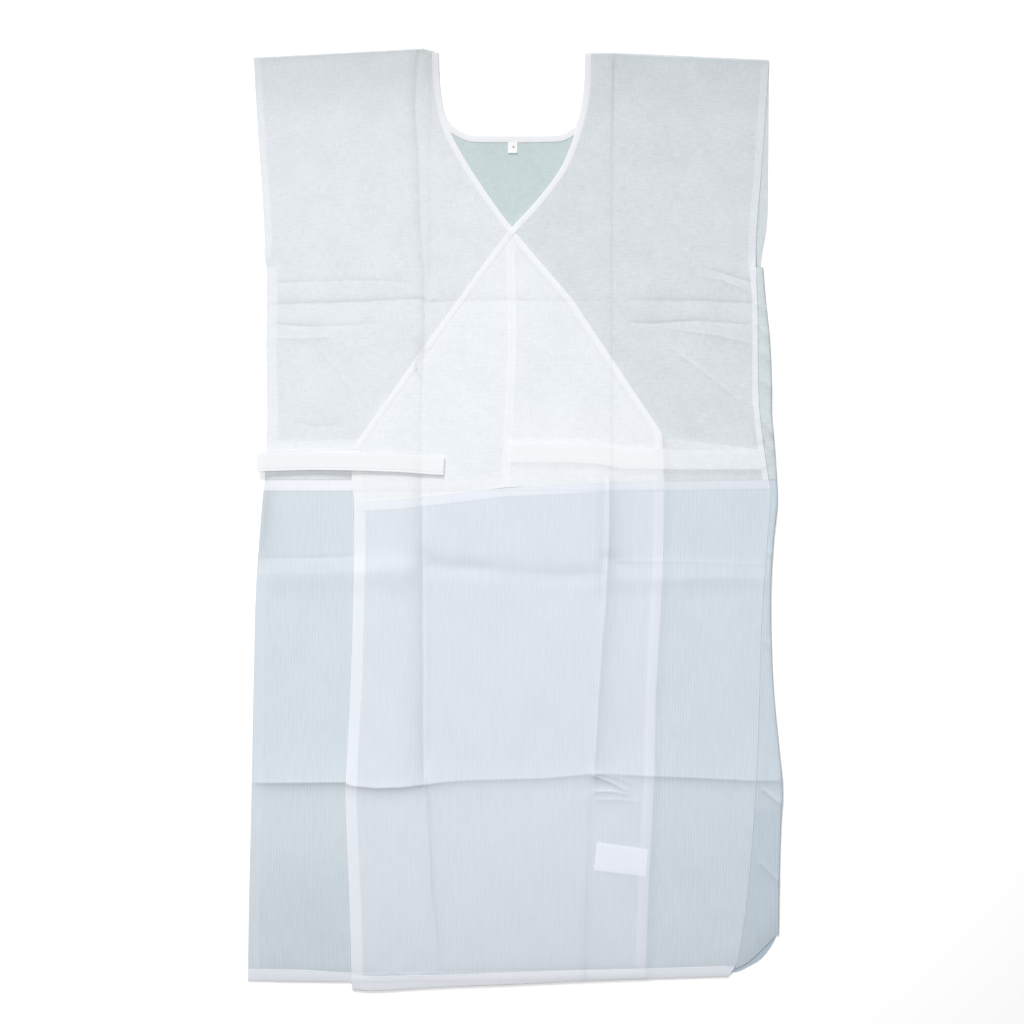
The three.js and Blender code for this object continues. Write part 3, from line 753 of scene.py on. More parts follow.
# %% Give the points their heights, and join patches over folds
class Cloth:
    """A sheet of cloth in the making: pairs of points, one on each face, and facets between them."""

    def __init__(self):
        self.outer, self.inner, self.layers, self.facets = [], [], [], []
        self.known = {}

    def point(self, middle, normal, layers):
        """The number of the point at this place, which is made if there is none yet."""
        here = self.known.setdefault((round(middle[0] * SNAP), round(middle[1] * SNAP)), [])
        for z, number in here:
            if abs(z - middle[2]) < 1.0 / SNAP:
                return number
        here.append((middle[2], len(self.outer)))
        middle, normal = np.array(middle), np.array(normal)
        self.outer.append(middle + normal * CLOTH / 2)
        self.inner.append(middle - normal * CLOTH / 2)
        self.layers.append(layers)
        return here[-1][1]

    def patch(self, ring, height, layers, step, rails=(), outer_up=True, pins=(), edge_step=None):
        xy, triangles, border = filled(ring, pins, step, rails, edge_step or step)
        z, count = height(xy), layers(xy)
        normal = (0.0, 0.0, 1.0 if outer_up else -1.0)
        index = [self.point((x, y, h), normal, n) for (x, y), h, n in zip(xy, z, count)]
        for a, b, c in triangles:
            a, b, c = index[a], index[b], index[c]
            if len({a, b, c}) == 3:
                self.facets.append((a, b, c) if outer_up else (a, c, b))
        return border

    def fold(self, low_points, high_points, outward, reach, layers, steps=8):
        """The half round between the edge of a lower layer and the edge of an upper one."""
        rows = []
        for (x, y, z_low), (_, _, z_high) in zip(low_points, high_points):
            half = (z_high - z_low) / 2
            row = []
            for k in range(steps + 1):
                angle = math.pi * k / steps
                out, up = math.sin(angle) / reach, -math.cos(angle) / half
                size = math.hypot(out, up)
                normal = (outward[0] * out / size, outward[1] * out / size, up / size)
                bulge = reach * math.sin(angle)
                middle = (x + outward[0] * bulge, y + outward[1] * bulge,
                          z_low + half - half * math.cos(angle))
                row.append(self.point(middle, normal, layers))
            rows.append(row)
        for one, two in zip(rows, rows[1:]):
            for k in range(steps):
                self.facets.append((one[k], two[k], two[k + 1], one[k + 1]))

    def finish(self, name):
        """One closed mesh in metres, with the number of layers and the painted shade at each point."""
        count = len(self.outer)
        points = np.vstack([self.outer, self.inner])
        faces, free = [], {}
        for facet in self.facets:
            facet = tuple(facet)
            faces.append(facet)
            faces.append(tuple(i + count for i in reversed(facet)))
            for a, b in zip(facet, facet[1:] + facet[:1]):
                if free.pop((b, a), None) is None:
                    free[(a, b)] = True
        faces += [(a, a + count, b + count, b) for a, b in free]
        mesh = bpy.data.meshes.new(name)
        mesh.from_pydata((points * MM).tolist(), [], faces)
        mesh.validate()
        _, bright = relief_and_painted_shade(points[:, :2])
        paint(mesh, "layers", np.concatenate([self.layers, self.layers]))
        paint(mesh, "painted_shade", bright)
        mesh.shade_smooth()
        mesh.set_sharp_from_angle(angle=math.radians(50))
        piece = bpy.data.objects.new(name, mesh)
        scene.collection.objects.link(piece)
        print(f"{name}: {len(mesh.vertices)} points, {len(mesh.polygons)} faces")
        return piece


def paint(mesh, name, values):
    layer = mesh.attributes.new(name, "FLOAT", "POINT")
    layer.data.foreach_set("value", np.asarray(values, np.float32))

# %% [markdown]
# ## Where more cloth shows through
#
# White cotton this thin is see-through. One layer alone looks greenish grey, and each layer, hem, seam
# allowance or tie beneath makes it whiter. Real transparency would need many ray steps and would not
# export, so each point carries a number instead: how many layers lie together there. A material turns
# that number into a colour.

# %% Count the layers at each point
RIGHT_TONE = 2.5  # two layers, and half a layer more as painted light, on the side nearer the light
LEFT_TONE = 2.0
COTTON_STRIP = 1.55  # the side strips lie on themselves, with less cloth beneath
CREPE_STRIP = 1.75
HEM_TONE = 3.2  # what a hem adds to the skirt
LONG_MARK_X = -112.0  # towards the wearer's right of this long fold mark the overlap looks whiter


def one_layer(xy):
    return np.full(len(xy), 1.0)

# %% Layers of the body and the panels
def back_layers(xy):
    return 1.0 + 0.8 * band(from_edge(xy, BACK_ARMHOLE), -1.0, ARMHOLE_HEM)


def right_front_layers(xy):
    side = from_edge(xy, RIGHT_SIDE)
    x, y = xy[:, 0], xy[:, 1]
    armhole = 0.45 * band(side, -1.0, ARMHOLE_HEM) * ramp(y, 315.0, 322.0)
    allowance = 0.4 * band(side, -1.0, SEAM_ALLOWANCE) * ramp(y, 312.0, 305.0)
    # painted light: a brighter band just above the outer tie, counted as extra layers
    painted_light_above_tie = 0.8 * band(y, 82.0, 96.0, 6.0) * band(x, -294.0, -188.0, 4.0)
    # painted shade: fewer layers are counted along the shoulder fold, so it looks darker there
    fold = 0.6 * np.exp(-from_edge(xy, SHOULDER_RIGHT) / 4.0)
    return RIGHT_TONE + np.maximum(np.maximum(armhole, allowance), painted_light_above_tie) - fold


def right_panel_layers(xy):
    return np.full(len(xy), RIGHT_TONE)


def left_front_layers(xy):
    past = under_side(xy)
    count = LEFT_TONE + 0.9 * ramp(past, 0.5, -0.5)
    bound = 1.0 * band(past, -8.0, 0.0) * ramp(xy[:, 1], 62.0, 66.0)
    tie = np.maximum(0.9 * tie_cover(xy), 0.45 * tie_start_cover(xy))
    seam = 1.9 * band(from_edge(xy, CENTRE_SEAM), -1.0, 5.0)
    side = 0.9 * band(from_edge(xy, SIDE_SEAM), -1.0, 7.0)
    armhole = 0.5 * band(from_edge(xy, FRONT_ARMHOLE), -1.0, ARMHOLE_HEM)
    low = 0.25 * ramp(past, 0.5, -0.5) * ramp(xy[:, 1], 180.0, 90.0)
    # painted shade: fewer layers are counted along the shoulder fold, so it looks darker there
    fold = 0.6 * np.exp(-from_edge(xy, SHOULDER_LEFT) / 4.0)
    return count + low + np.maximum.reduce([bound, tie, seam, side, armhole]) - fold


def left_panel_layers(xy):
    seam = 1.6 * band(from_edge(xy, CENTRE_SEAM), -1.0, 5.0)
    low = 0.35 * ramp(xy[:, 1], 60.0, 40.0) + 1.0 * band(from_edge(xy, OVER_WAIST), -1.0, 3.0)
    edge = 1.2 * band(xy[:, 0], -210.0, -187.0) * ramp(xy[:, 1], 66.0, 62.0)
    return 3.0 + np.maximum.reduce([seam, low, edge])

# %% Layers of the skirt and the side strips
def under_skirt_layers(xy):
    hem = HEM_TONE * ramp(beside(xy, UNDER_HEM_TOP)[0], 0.5, -0.5)
    waist = 3.8 * band(from_edge(xy, UNDER_WAIST), -1.0, WAIST_ALLOWANCE + 2.0)
    side = 0.3 * band(from_edge(xy, RIGHT_SKIRT_SIDE), -1.0, SEAM_ALLOWANCE)
    side *= ramp(xy[:, 1], -40.0, -70.0)
    low = 0.35 * ramp(xy[:, 1], -330.0, -480.0)
    return 2.15 - low + np.maximum.reduce([hem, waist, side])


def over_skirt_layers(xy):
    past = under_side(xy)
    beyond = xy[:, 0] < LONG_MARK_X
    count = LEFT_TONE + 1.0 * ramp(past, 0.5, -0.5) + 0.25 * beyond
    edge = 1.9 * band(from_edge(xy, OVER_EDGE), -1.0, FRONT_HEM)
    hem = HEM_TONE * ramp(beside(xy, OVER_HEM_TOP)[0], 0.5, -0.5)
    waist = 1.8 + 0.2 * ramp(xy[:, 0], 100.0, 60.0)
    waist *= band(from_edge(xy, OVER_WAIST), -1.0, WAIST_ALLOWANCE)
    hidden = 1.15 * band(past, -HEM, 0.0)
    label = 4.2 * label_cover(xy)
    return count + np.maximum.reduce([edge, hem, waist, hidden, label])


def cotton_strip_layers(xy):
    return np.full(len(xy), COTTON_STRIP)


def crepe_strip_layers(xy):
    """Below the knee less cloth lies beneath the strip, so it is a little darker."""
    return CREPE_STRIP - 0.25 * ramp(xy[:, 1], -348.0, -358.0)

# %% [markdown]
# ## The body
#
# The body is cut in one: the back, and two side fronts that fold over at the shoulders. On the wearer's
# left the back also wraps forward round the side as a narrow strip, up to the armhole. So one sheet runs
# under, round and over, and each fold is a half round, as wide as the layers it holds.

# %% Folds
THIN_FOLD = 1.8
THICK_FOLD = 3.1


def fold_line(low_border, low_height, high_border, high_height, ends):
    """The same edge at the lower and at the upper layer, from the first end to the second."""
    start, end = ends
    high = stretch(high_border, start, end)
    low = stretch(low_border, end, start)[::-1]
    if len(low) != len(high):
        raise ValueError(f"the layers differ along the fold at {start}: {len(low)}, {len(high)} points")
    return np.column_stack([low, low_height(low)]), np.column_stack([high, high_height(high)])

# %% Make the body
BACK_STEP = 7.0  # the spacing of points on hidden cloth,
FRONT_STEP = 4.3  # and on cloth that shows
SHOULDER_PEAK = (-113.0, 573.2)
fold_pins = [*RIGHT_SHOULDER, *LEFT_SHOULDER, *SIDE, SHOULDER_PEAK]

body_cloth = Cloth()
back_border = body_cloth.patch(
    ring_back, back_height, back_layers, BACK_STEP, outer_up=False, pins=fold_pins, edge_step=FRONT_STEP,
    rails=[(BACK_NECK, (-2.5, -6.0, -10.0)), (BACK_ARMHOLE, (-8.5, -9.5))],
)
right_border = body_cloth.patch(
    ring_right_front, under_height, right_front_layers, FRONT_STEP, pins=fold_pins,
    rails=mark_rails() + [(RIGHT_SIDE, (8.5, 9.5, 12.5, 13.5)), (RIGHT_NECK, (3.0, 7.0))],
)
left_border = body_cloth.patch(
    ring_left_front, over_height, left_front_layers, FRONT_STEP, pins=fold_pins,
    rails=mark_rails() + [
        (UNDER_LINE, (-8.5, -7.5, -0.6, 0.6, 6.0)), (CENTRE_SEAM, (-5.5, -4.5, 4.5, 5.5)),
        (SIDE_SEAM, (6.5, 7.5)), (FRONT_ARMHOLE, (8.5, 9.5)),
        (INNER_TIE, [side * TIE_WIDTH / 2 + beyond for side in (-1, 1) for beyond in (-0.6, 0.6)]),
        (INNER_TIE_START, (TIE_WIDTH / 2 - 0.6, TIE_WIDTH / 2 + 0.6)),
    ],
)
strip_border = body_cloth.patch(ring_side_strip, over_height, cotton_strip_layers, FRONT_STEP, pins=fold_pins)

low, high = fold_line(back_border, back_height, right_border, under_height, RIGHT_SHOULDER)
body_cloth.fold(low, high, (0.0, 1.0), THIN_FOLD, RIGHT_TONE)
low, high = fold_line(back_border, back_height, left_border, over_height, LEFT_SHOULDER)
body_cloth.fold(low, high, (0.0, 1.0), THICK_FOLD, LEFT_TONE)
low, high = fold_line(back_border, back_height, strip_border, over_height, SIDE)
body_cloth.fold(low, high, (1.0, 0.0), THICK_FOLD, COTTON_STRIP)
body = body_cloth.finish("body_cotton")

# %% [markdown]
# ## Front panels and skirt
#
# A panel is sewn to each front edge to make the two fronts cross: the one on the wearer's left is on top.
# The skirt is ribbed crepe in three pieces: the back, which also wraps forward at the side, the underlap
# and the overlap. The overlap's front edge and hem, and the underlap's, are turned in and stitched.

# %% Make the panels
left_panel_cloth = Cloth()
left_panel_cloth.patch(
    ring_left_panel, over_height, left_panel_layers, FRONT_STEP,
    rails=mark_rails() + [(CENTRE_SEAM, (-5.5, -4.5, 4.5, 5.5)), (OVER_WAIST, (-3.5, -2.5, 2.5, 3.5))],
)
left_panel = left_panel_cloth.finish("overlap_panel_left_cotton")

right_panel_cloth = Cloth()
right_panel_cloth.patch(ring_right_panel, under_height, right_panel_layers, BACK_STEP, rails=mark_rails())
right_panel = right_panel_cloth.finish("overlap_panel_right_cotton")

# %% Make the skirt
skirt_back_cloth = Cloth()
skirt_pins = list(SKIRT_SIDE)
skirt_back_border = skirt_back_cloth.patch(
    ring_back_skirt, back_height, one_layer, BACK_STEP, outer_up=False, pins=skirt_pins,
    edge_step=FRONT_STEP,
)
skirt_strip_border = skirt_back_cloth.patch(
    ring_skirt_strip, over_height, crepe_strip_layers, FRONT_STEP, pins=skirt_pins, rails=mark_rails(),
)
low, high = fold_line(skirt_back_border, back_height, skirt_strip_border, over_height, SKIRT_SIDE)
skirt_back_cloth.fold(low, high, (1.0, 0.0), THICK_FOLD, CREPE_STRIP)
skirt_back = skirt_back_cloth.finish("skirt_back_crepe")

under_skirt_cloth = Cloth()
under_skirt_cloth.patch(
    ring_under_skirt, under_height, under_skirt_layers, 4.8,
    rails=mark_rails() + [
        (UNDER_HEM_TOP, (-0.5, 0.5)), (UNDER_WAIST, (WAIST_ALLOWANCE + 1.5, WAIST_ALLOWANCE + 2.5)),
        (RIGHT_SKIRT_SIDE, (SEAM_ALLOWANCE - 0.5, SEAM_ALLOWANCE + 0.5)),
        (OVER_EDGE, (-2.0, 2.0)),
    ],
)
under_skirt = under_skirt_cloth.finish("skirt_underlap_crepe")

over_skirt_cloth = Cloth()
over_skirt_cloth.patch(
    ring_over_skirt, over_height, over_skirt_layers, 4.2,
    rails=mark_rails() + [
        (OVER_EDGE, (FRONT_HEM - 0.5, FRONT_HEM + 0.5)), (OVER_HEM_TOP, (-0.5, 0.5)),
        (OVER_WAIST, (WAIST_ALLOWANCE - 0.5, WAIST_ALLOWANCE + 0.5)),
        (UNDER_LINE, (-HEM - 0.5, -HEM + 0.5, -0.6, 0.6, 6.0)),
        (np.vstack([LABEL_RING, LABEL_RING[:1]]), (-0.5, 0.5)),
    ],
)
over_skirt = over_skirt_cloth.finish("skirt_overlap_crepe")

# %% [markdown]
# ## Swept pieces: binding and ties
#
# The neckline is bound with one bias strip, folded over the cut edge. It could be a bevelled curve, but we
# want a flat section with a stitched groove, and we want it to turn over the shoulders without twisting.
# So we sweep a section along a path by hand: every path point has a place and the way its face looks.

# %% Sweep a flat section along a path
def sweep(name, places, faces, section):
    """A closed band. The section is a ring of (across, out) points, in millimetres."""
    places, faces = np.array(places, float), np.array(faces, float)
    ahead = np.gradient(places, axis=0)
    ahead /= np.linalg.norm(ahead, axis=1)[:, None]
    faces = faces - np.sum(faces * ahead, axis=1)[:, None] * ahead
    faces /= np.linalg.norm(faces, axis=1)[:, None]
    across = np.cross(faces, ahead)
    verts = [p + a * u + f * v for p, a, f in zip(places, across, faces) for u, v in section]
    count, size = len(places), len(section)
    quads = []
    for i in range(count - 1):
        for j in range(size):
            k = (j + 1) % size
            quads.append((i * size + j, i * size + k, (i + 1) * size + k, (i + 1) * size + j))
    quads.append(tuple(range(size))[::-1])
    quads.append(tuple((count - 1) * size + j for j in range(size)))
    mesh = bpy.data.meshes.new(name)
    points = np.array(verts)
    mesh.from_pydata((points * MM).tolist(), [], quads)
    _, bright = relief_and_painted_shade(points[:, :2])
    paint(mesh, "painted_shade", bright)
    paint(mesh, "layers", np.full(len(points), 4.0))
    mesh.shade_smooth()
    mesh.set_sharp_from_angle(angle=math.radians(60))
    piece = bpy.data.objects.new(name, mesh)
    scene.collection.objects.link(piece)
    print(f"{name}: {len(points)} points, {len(quads)} faces")
    return piece


CROWN = 0.18  # how much thinner a band is at its long edges
GROOVE_DEPTH = 0.12  # as a share of the thickness


def flat_section(width, thick, grooves, round_to=0.5, taper=0.0):
    """A flat band's section, with rounded long edges and a shallow groove at each stitch line."""
    half = width / 2
    across = [-half + round_to, half - round_to]
    for groove in grooves:
        across += [groove - 0.5, groove, groove + 0.5]
    across += list(np.linspace(-half + 2 * round_to, half - 2 * round_to, 7))
    across = sorted({round(u, 3) for u in across if abs(u) <= half - round_to + 1e-6})
    top = []
    for u in across:
        thinned = 1.0 - taper * ramp(np.array(u), -half * 0.2, -half)
        swell = thick / 2 * (1.0 - CROWN * (u / half) ** 4) * thinned
        dent = GROOVE_DEPTH * thick if any(abs(u - groove) < 0.1 for groove in grooves) else 0.0
        top.append((u, swell - dent))
    shoulder = half - 0.15 * round_to
    right = [(shoulder, 0.32 * thick), (half, 0.0), (shoulder, -0.32 * thick)]
    left = [(-u, -v * (1.0 - taper)) for u, v in right]
    bottom = [(u, -v) for u, v in reversed(top)]
    return (top + right + bottom + left)[::-1]

# %% The neck binding
BINDING_WIDTH = 8.0
BINDING_THICK = 1.0
BINDING_TAPER = 0.3
EDGE_TO_MIDDLE = 2.7
STITCH_INSET = 1.3  # from the binding's inner edge to its stitches
BINDING_START = (-196.5, 86.0)
BINDING_END = (180.4, 58.0)


def bound_run(line, height, side, face, step=3.0):
    """Places and faces along one stretch of bound edge."""
    soft_line, held = soften(line, [], closed=False)
    middle = shifted(spaced(soft_line, held, step, closed=False), side * EDGE_TO_MIDDLE)
    places = np.column_stack([middle, height(middle)])
    return list(places), [(0.0, 0.0, face)] * len(places)


def over_shoulder(start, end, reach, steps=9):
    """The half turn over a shoulder fold, between two places one above the other."""
    start, end = np.array(start), np.array(end)
    places, faces = [], []
    for k in range(1, steps):
        angle = math.pi * k / steps
        share = (1.0 - math.cos(angle)) / 2
        place = start + (end - start) * share
        place[1] += reach * math.sin(angle)
        places.append(place)
        upward = math.cos(angle) if start[2] > end[2] else -math.cos(angle)
        faces.append((0.0, math.sin(angle), upward))
    return places, faces

# %% Bind the whole neck edge with one strip
overlap_edge = np.vstack([stretch(PANEL_EDGE[::-1], BINDING_START, OVER_CROSSING), LEFT_NECK[::-1][1:]])
overlap_edge[0] = BINDING_START
underlap_edge = np.vstack([RIGHT_NECK, under_neck[1:-1], [BINDING_END]])
places, faces = bound_run(overlap_edge, over_height, -1, 1.0)
back_places, back_faces = bound_run(BACK_NECK[::-1], back_height, 1, -1.0)
under_places, under_faces = bound_run(underlap_edge, under_height, -1, 1.0)
turn_places, turn_faces = over_shoulder(places[-1], back_places[0], THICK_FOLD)
places, faces = places + turn_places + back_places, faces + turn_faces + back_faces
turn_places, turn_faces = over_shoulder(places[-1], under_places[0], THIN_FOLD)
places, faces = places + turn_places + under_places, faces + turn_faces + under_faces
binding_length = float(np.sum(np.linalg.norm(np.diff(places, axis=0), axis=1)))
print(f"neck binding: {binding_length:.0f} mm long")
binding_section = flat_section(
    BINDING_WIDTH, BINDING_THICK, [-BINDING_WIDTH / 2 + STITCH_INSET], taper=BINDING_TAPER)
neck_binding = sweep("neck_binding_trim", places, faces, binding_section)

# %% [markdown]
# ## Ties
#
# Each tie is a narrow strip, sewn into a flat tube, and folded back on itself once for packing. The outer
# one stands a little off the cloth where it turns, and throws a clear shadow.

# %% Routes for ties
def tie_path(stops, step=4.0):
    """Round a route of (place, face) stops off with a spline through them."""
    spots = np.array([stop[0] for stop in stops], float)
    looks = np.array([stop[1] for stop in stops], float)
    lengths = np.linalg.norm(np.diff(spots, axis=0), axis=1)
    along = np.concatenate([[0.0], np.cumsum(lengths)])
    at = [along[0]]
    for a, b in zip(along[:-1], along[1:]):
        at += list(np.linspace(a, b, max(2, round((b - a) / step) + 1))[1:])
    slope = np.gradient(spots, along, axis=0)
    out = []
    for s in at:
        i = min(int(np.searchsorted(along, s, "right")) - 1, len(along) - 2)
        h = along[i + 1] - along[i]
        t = (s - along[i]) / h
        place = ((2 * t**3 - 3 * t**2 + 1) * spots[i] + (t**3 - 2 * t**2 + t) * h * slope[i]
                 + (-2 * t**3 + 3 * t**2) * spots[i + 1] + (t**3 - t**2) * h * slope[i + 1])
        out.append(place)
    faces = [[np.interp(s, along, looks[:, k]) for k in range(3)] for s in at]
    return out, faces

# %% The two ties
UP, DOWN = (0.0, 0.0, 1.0), (0.0, 0.0, -1.0)
MINUS_X, PLUS_X = (-1.0, 0.0, 0.0), (1.0, 0.0, 0.0)
TIE_STITCHES = -TIE_WIDTH / 2 + 2.6
outer_route = [
    ((-190, 73, 4.3), DOWN), ((-215, 73, 4.0), DOWN), ((-260, 71.5, 3.7), DOWN), ((-300, 70.4, 3.8), DOWN),
    ((-312, 70.2, 3.9), DOWN), ((-315.2, 70.2, 4.7), MINUS_X), ((-312, 70.2, 5.5), UP),
    ((-300, 70.5, 5.5), UP), ((-250, 71.8, 5.4), UP), ((-201, 71.2, 5.6), UP), ((-170, 70.3, 5.4), UP),
    ((-140, 69.1, 5.1), UP), ((-105, 66.6, 4.9), UP), ((-87.5, 65.6, 5.1), UP),
]
tie_outer = sweep("outer_tie_trim", *tie_path(outer_route),
                  flat_section(TIE_WIDTH - 0.5, 1.0, [TIE_STITCHES], 0.45))
inner_route = [
    ((183, 87.6, 2.55), DOWN), ((200, 85.5, 1.5), DOWN), ((240, 80.5, 1.15), DOWN), ((285, 75, 1.15), DOWN),
    ((294, 73.6, 1.3), DOWN), ((296, 73.4, 1.8), PLUS_X), ((294, 73.4, 2.3), UP), ((285, 73.4, 2.3), UP),
    ((240, 73.4, 2.2), UP), ((200, 73.4, 2.4), UP), ((180, 73.4, 3.2), UP), ((130, 74.3, 3.2), UP),
    ((115, 77.5, 3.2), UP), ((100, 80.0, 3.2), UP), ((50, 81.2, 3.2), UP), ((-5.7, 81.6, 3.2), UP),
]
tie_inner = sweep("inner_tie_trim", *tie_path(inner_route),
                  flat_section(TIE_WIDTH, 0.45, [TIE_STITCHES], 0.3))

# %% [markdown]
# ## Labels
#
# The neck label is a small folded tape, tucked under the back binding. The care label is a white tape sewn
# into the underlap's side, and it only shows through the overlap. Both are left blank but for a small mark.

# %% The two labels
def label(name, ring, height, step):
    cloth = Cloth()
    cloth.patch(np.array(ring, float), height, lambda xy: np.full(len(xy), 4.0), step)
    return cloth.finish(name)


tape_low, tape_high = (np.array(c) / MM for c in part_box("label_neck"))
tape_top = tape_high[1] + 2.0  # it reaches under the binding
neck_ring = [(tape_low[0], tape_low[1]), (tape_high[0], tape_low[1]),
             (tape_high[0], tape_top), (tape_low[0], tape_top)]
label_neck = label("label_neck_tape", neck_ring,
                   lambda xy: 0.85 + 0.5 * np.exp(-(xy[:, 1] - tape_low[1]) / 2.5), 1.2)
label_care = label("label_care_tape", LABEL_RING, lambda xy: under_height(xy) + 0.5, 4.0)

# %% [markdown]
# ## Stitches
#
# Stitches are what makes a seam read as sewn. Each one is a tiny spindle that lies along its line, and all
# the stitches of a garment piece are one mesh. Lines of them hold the binding, hems and front edges.

# %% Rows of stitches
STITCH_PITCH = 2.9
STITCH_LENGTH = 2.2
THREAD = 0.3
SIDES = 6
ABOVE_CLOTH = CLOTH / 2 + 0.05


def stitch_row(line, height):
    """Places and directions of the stitches along a line that lies on the cloth's upper face."""
    even = spaced(np.array(line, float), set(), STITCH_PITCH, closed=False)
    middle = (even[:-1] + even[1:]) / 2
    ahead = np.diff(even, axis=0)
    ahead /= np.hypot(*ahead.T)[:, None]
    return np.column_stack([middle, height(middle)]), np.column_stack([ahead, np.zeros(len(ahead))])


def stitches(name, rows):
    """One mesh of spindles, six-sided, with flat ends sunk into the cloth."""
    verts, quads = [], []
    profile = [(-0.5, 0.35, -0.9), (-0.3, 0.9, 0.0), (0.0, 1.0, 0.25), (0.3, 0.9, 0.0), (0.5, 0.35, -0.9)]
    for places, ahead in rows:
        for place, along in zip(places, ahead):
            sideways = np.array((-along[1], along[0], 0.0))
            base = len(verts)
            for at, size, lift in profile:
                for k in range(SIDES):
                    angle = math.tau * k / SIDES
                    ring_point = (place + along * at * STITCH_LENGTH
                                  + sideways * math.cos(angle) * size * THREAD
                                  + np.array((0, 0, 1.0)) * (math.sin(angle) * size * 0.6 + lift) * THREAD)
                    verts.append(ring_point)
            for i in range(len(profile) - 1):
                for k in range(SIDES):
                    a, b = base + i * SIDES + k, base + i * SIDES + (k + 1) % SIDES
                    quads.append((a, b, b + SIDES, a + SIDES))
            quads.append(tuple(base + k for k in range(SIDES))[::-1])
            quads.append(tuple(base + (len(profile) - 1) * SIDES + k for k in range(SIDES)))
    mesh = bpy.data.meshes.new(name)
    mesh.from_pydata((np.array(verts) * MM).tolist(), [], quads)
    paint(mesh, "layers", np.full(len(verts), 4.0))
    paint(mesh, "painted_shade", relief_and_painted_shade(np.array(verts)[:, :2])[1])
    mesh.shade_smooth()
    piece = bpy.data.objects.new(name, mesh)
    scene.collection.objects.link(piece)
    print(f"{name}: {sum(len(p) for p, _ in rows)} stitches, {len(quads)} faces")
    return piece

# %% Stitch the binding, the armholes, the hems and the front edge
def top_of_over(xy):
    return over_height(xy) + ABOVE_CLOTH


def top_of_under(xy):
    return under_height(xy) + ABOVE_CLOTH


def on_binding(height):
    return lambda xy: height(xy) + 0.3 * BINDING_THICK


def inner_line(line, distance):
    """A line beside an edge, rounded as the edge is."""
    soft_line, held = soften(line, [], closed=False)
    return shifted(spaced(soft_line, held, 3.0, closed=False), distance)


binding_stitch = EDGE_TO_MIDDLE + BINDING_WIDTH / 2 - STITCH_INSET
binding_stitches = stitches("stitches_binding", [
    stitch_row(inner_line(overlap_edge, -binding_stitch), on_binding(over_height)),
    stitch_row(inner_line(RIGHT_NECK, -binding_stitch), on_binding(under_height)),
    stitch_row(inner_line(BACK_NECK, -binding_stitch), on_binding(back_height)),
])
body_stitches = stitches("stitches_body", [
    stitch_row(inner_line(RIGHT_SIDE[:5], ARMHOLE_HEM - 1.0), top_of_under),
    stitch_row(inner_line(FRONT_ARMHOLE, ARMHOLE_HEM - 1.0), top_of_over),
])
under_stitches = stitches("stitches_underlap", [
    stitch_row(inner_line(UNDER_HEM_TOP, -1.0)[2:], top_of_under),
])
over_stitches = stitches("stitches_overlap", [
    stitch_row(inner_line(OVER_HEM_TOP, -1.0)[5:], top_of_over),
    stitch_row(inner_line(OVER_EDGE, FRONT_HEM - 1.0)[:-3], top_of_over),
])

# %% [markdown]
# ## Shader groups
#
# Three effects are shared by the finishes. The plain weave has slubs: here and there a yarn is thicker for
# a centimetre or two, along the cloth or across it. Crepe has narrow ribs down its length, which break and
# wander. The last group turns a colour, the painted shade and a pattern into cloth colour. Each group is
# built once, with named sockets, and gives out only values and colours.

# %% Helpers for node trees
def new_group(name, inputs, outputs):
    """A shader group with named sockets. Inputs are (name, kind, default), outputs (name, kind)."""
    tree = bpy.data.node_groups.new(name, "ShaderNodeTree")
    kinds = {"float": "NodeSocketFloat", "colour": "NodeSocketColor", "vector": "NodeSocketVector"}
    for title, kind, value in inputs:
        socket = tree.interface.new_socket(title, in_out="INPUT", socket_type=kinds[kind])
        if value is not None:
            socket.default_value = value
    for title, kind in outputs:
        tree.interface.new_socket(title, in_out="OUTPUT", socket_type=kinds[kind])
    return tree, tree.nodes.new("NodeGroupInput"), tree.nodes.new("NodeGroupOutput")


def node(tree, kind, settings=None, inputs=None):
    """A node with its settings and its inputs, each a value or another node's socket."""
    made = tree.nodes.new(kind)
    for key, value in (settings or {}).items():
        setattr(made, key, value)
    for key, value in (inputs or {}).items():
        if isinstance(value, bpy.types.NodeSocket):
            tree.links.new(value, made.inputs[key])
        else:
            made.inputs[key].default_value = value
    return made


def maths(tree, operation, *values):
    """A maths node on one or two values or sockets."""
    return node(tree, "ShaderNodeMath", {"operation": operation}, dict(enumerate(values))).outputs[0]


def noise(tree, vector, stretch_by, detail=2.0, rough=0.5):
    """Noise whose grain is stretched: the three numbers are grains to the metre along x, y and z."""
    scaled = node(tree, "ShaderNodeVectorMath", {"operation": "MULTIPLY"}, {0: vector, 1: stretch_by})
    made = node(tree, "ShaderNodeTexNoise", None, {"Vector": scaled.outputs[0], "Scale": 1.0,
                                                   "Detail": detail, "Roughness": rough})
    return made.outputs["Fac"]

# %% Plain weave
weave, ins, outs = new_group("Plain weave", [("Vector", "vector", None), ("Slub length", "float", 1.0)],
                             [("Tint", "float"), ("Height", "float")])
vector = node(weave, "ShaderNodeVectorMath", {"operation": "SCALE"},
              {0: ins.outputs["Vector"], "Scale": ins.outputs["Slub length"]}).outputs[0]
across = noise(weave, vector, (95.0, 640.0, 60.0), 1.5)
along = noise(weave, vector, (640.0, 95.0, 60.0), 1.5)
fine = noise(weave, vector, (1500.0, 1500.0, 60.0), 1.0)
cloud = noise(weave, vector, (26.0, 26.0, 26.0), 3.0)
slubs = maths(weave, "ADD", maths(weave, "MULTIPLY", across, 0.55), maths(weave, "MULTIPLY", along, 0.45))
tint = maths(weave, "ADD", maths(weave, "MULTIPLY", slubs, 0.74), maths(weave, "MULTIPLY", cloud, 0.26))
weave.links.new(tint, outs.inputs["Tint"])
height = maths(weave, "ADD", maths(weave, "MULTIPLY", slubs, 0.8), maths(weave, "MULTIPLY", fine, 0.2))
weave.links.new(height, outs.inputs["Height"])

# %% Crepe ribs
RIB_PITCH = 0.0033  # in metres

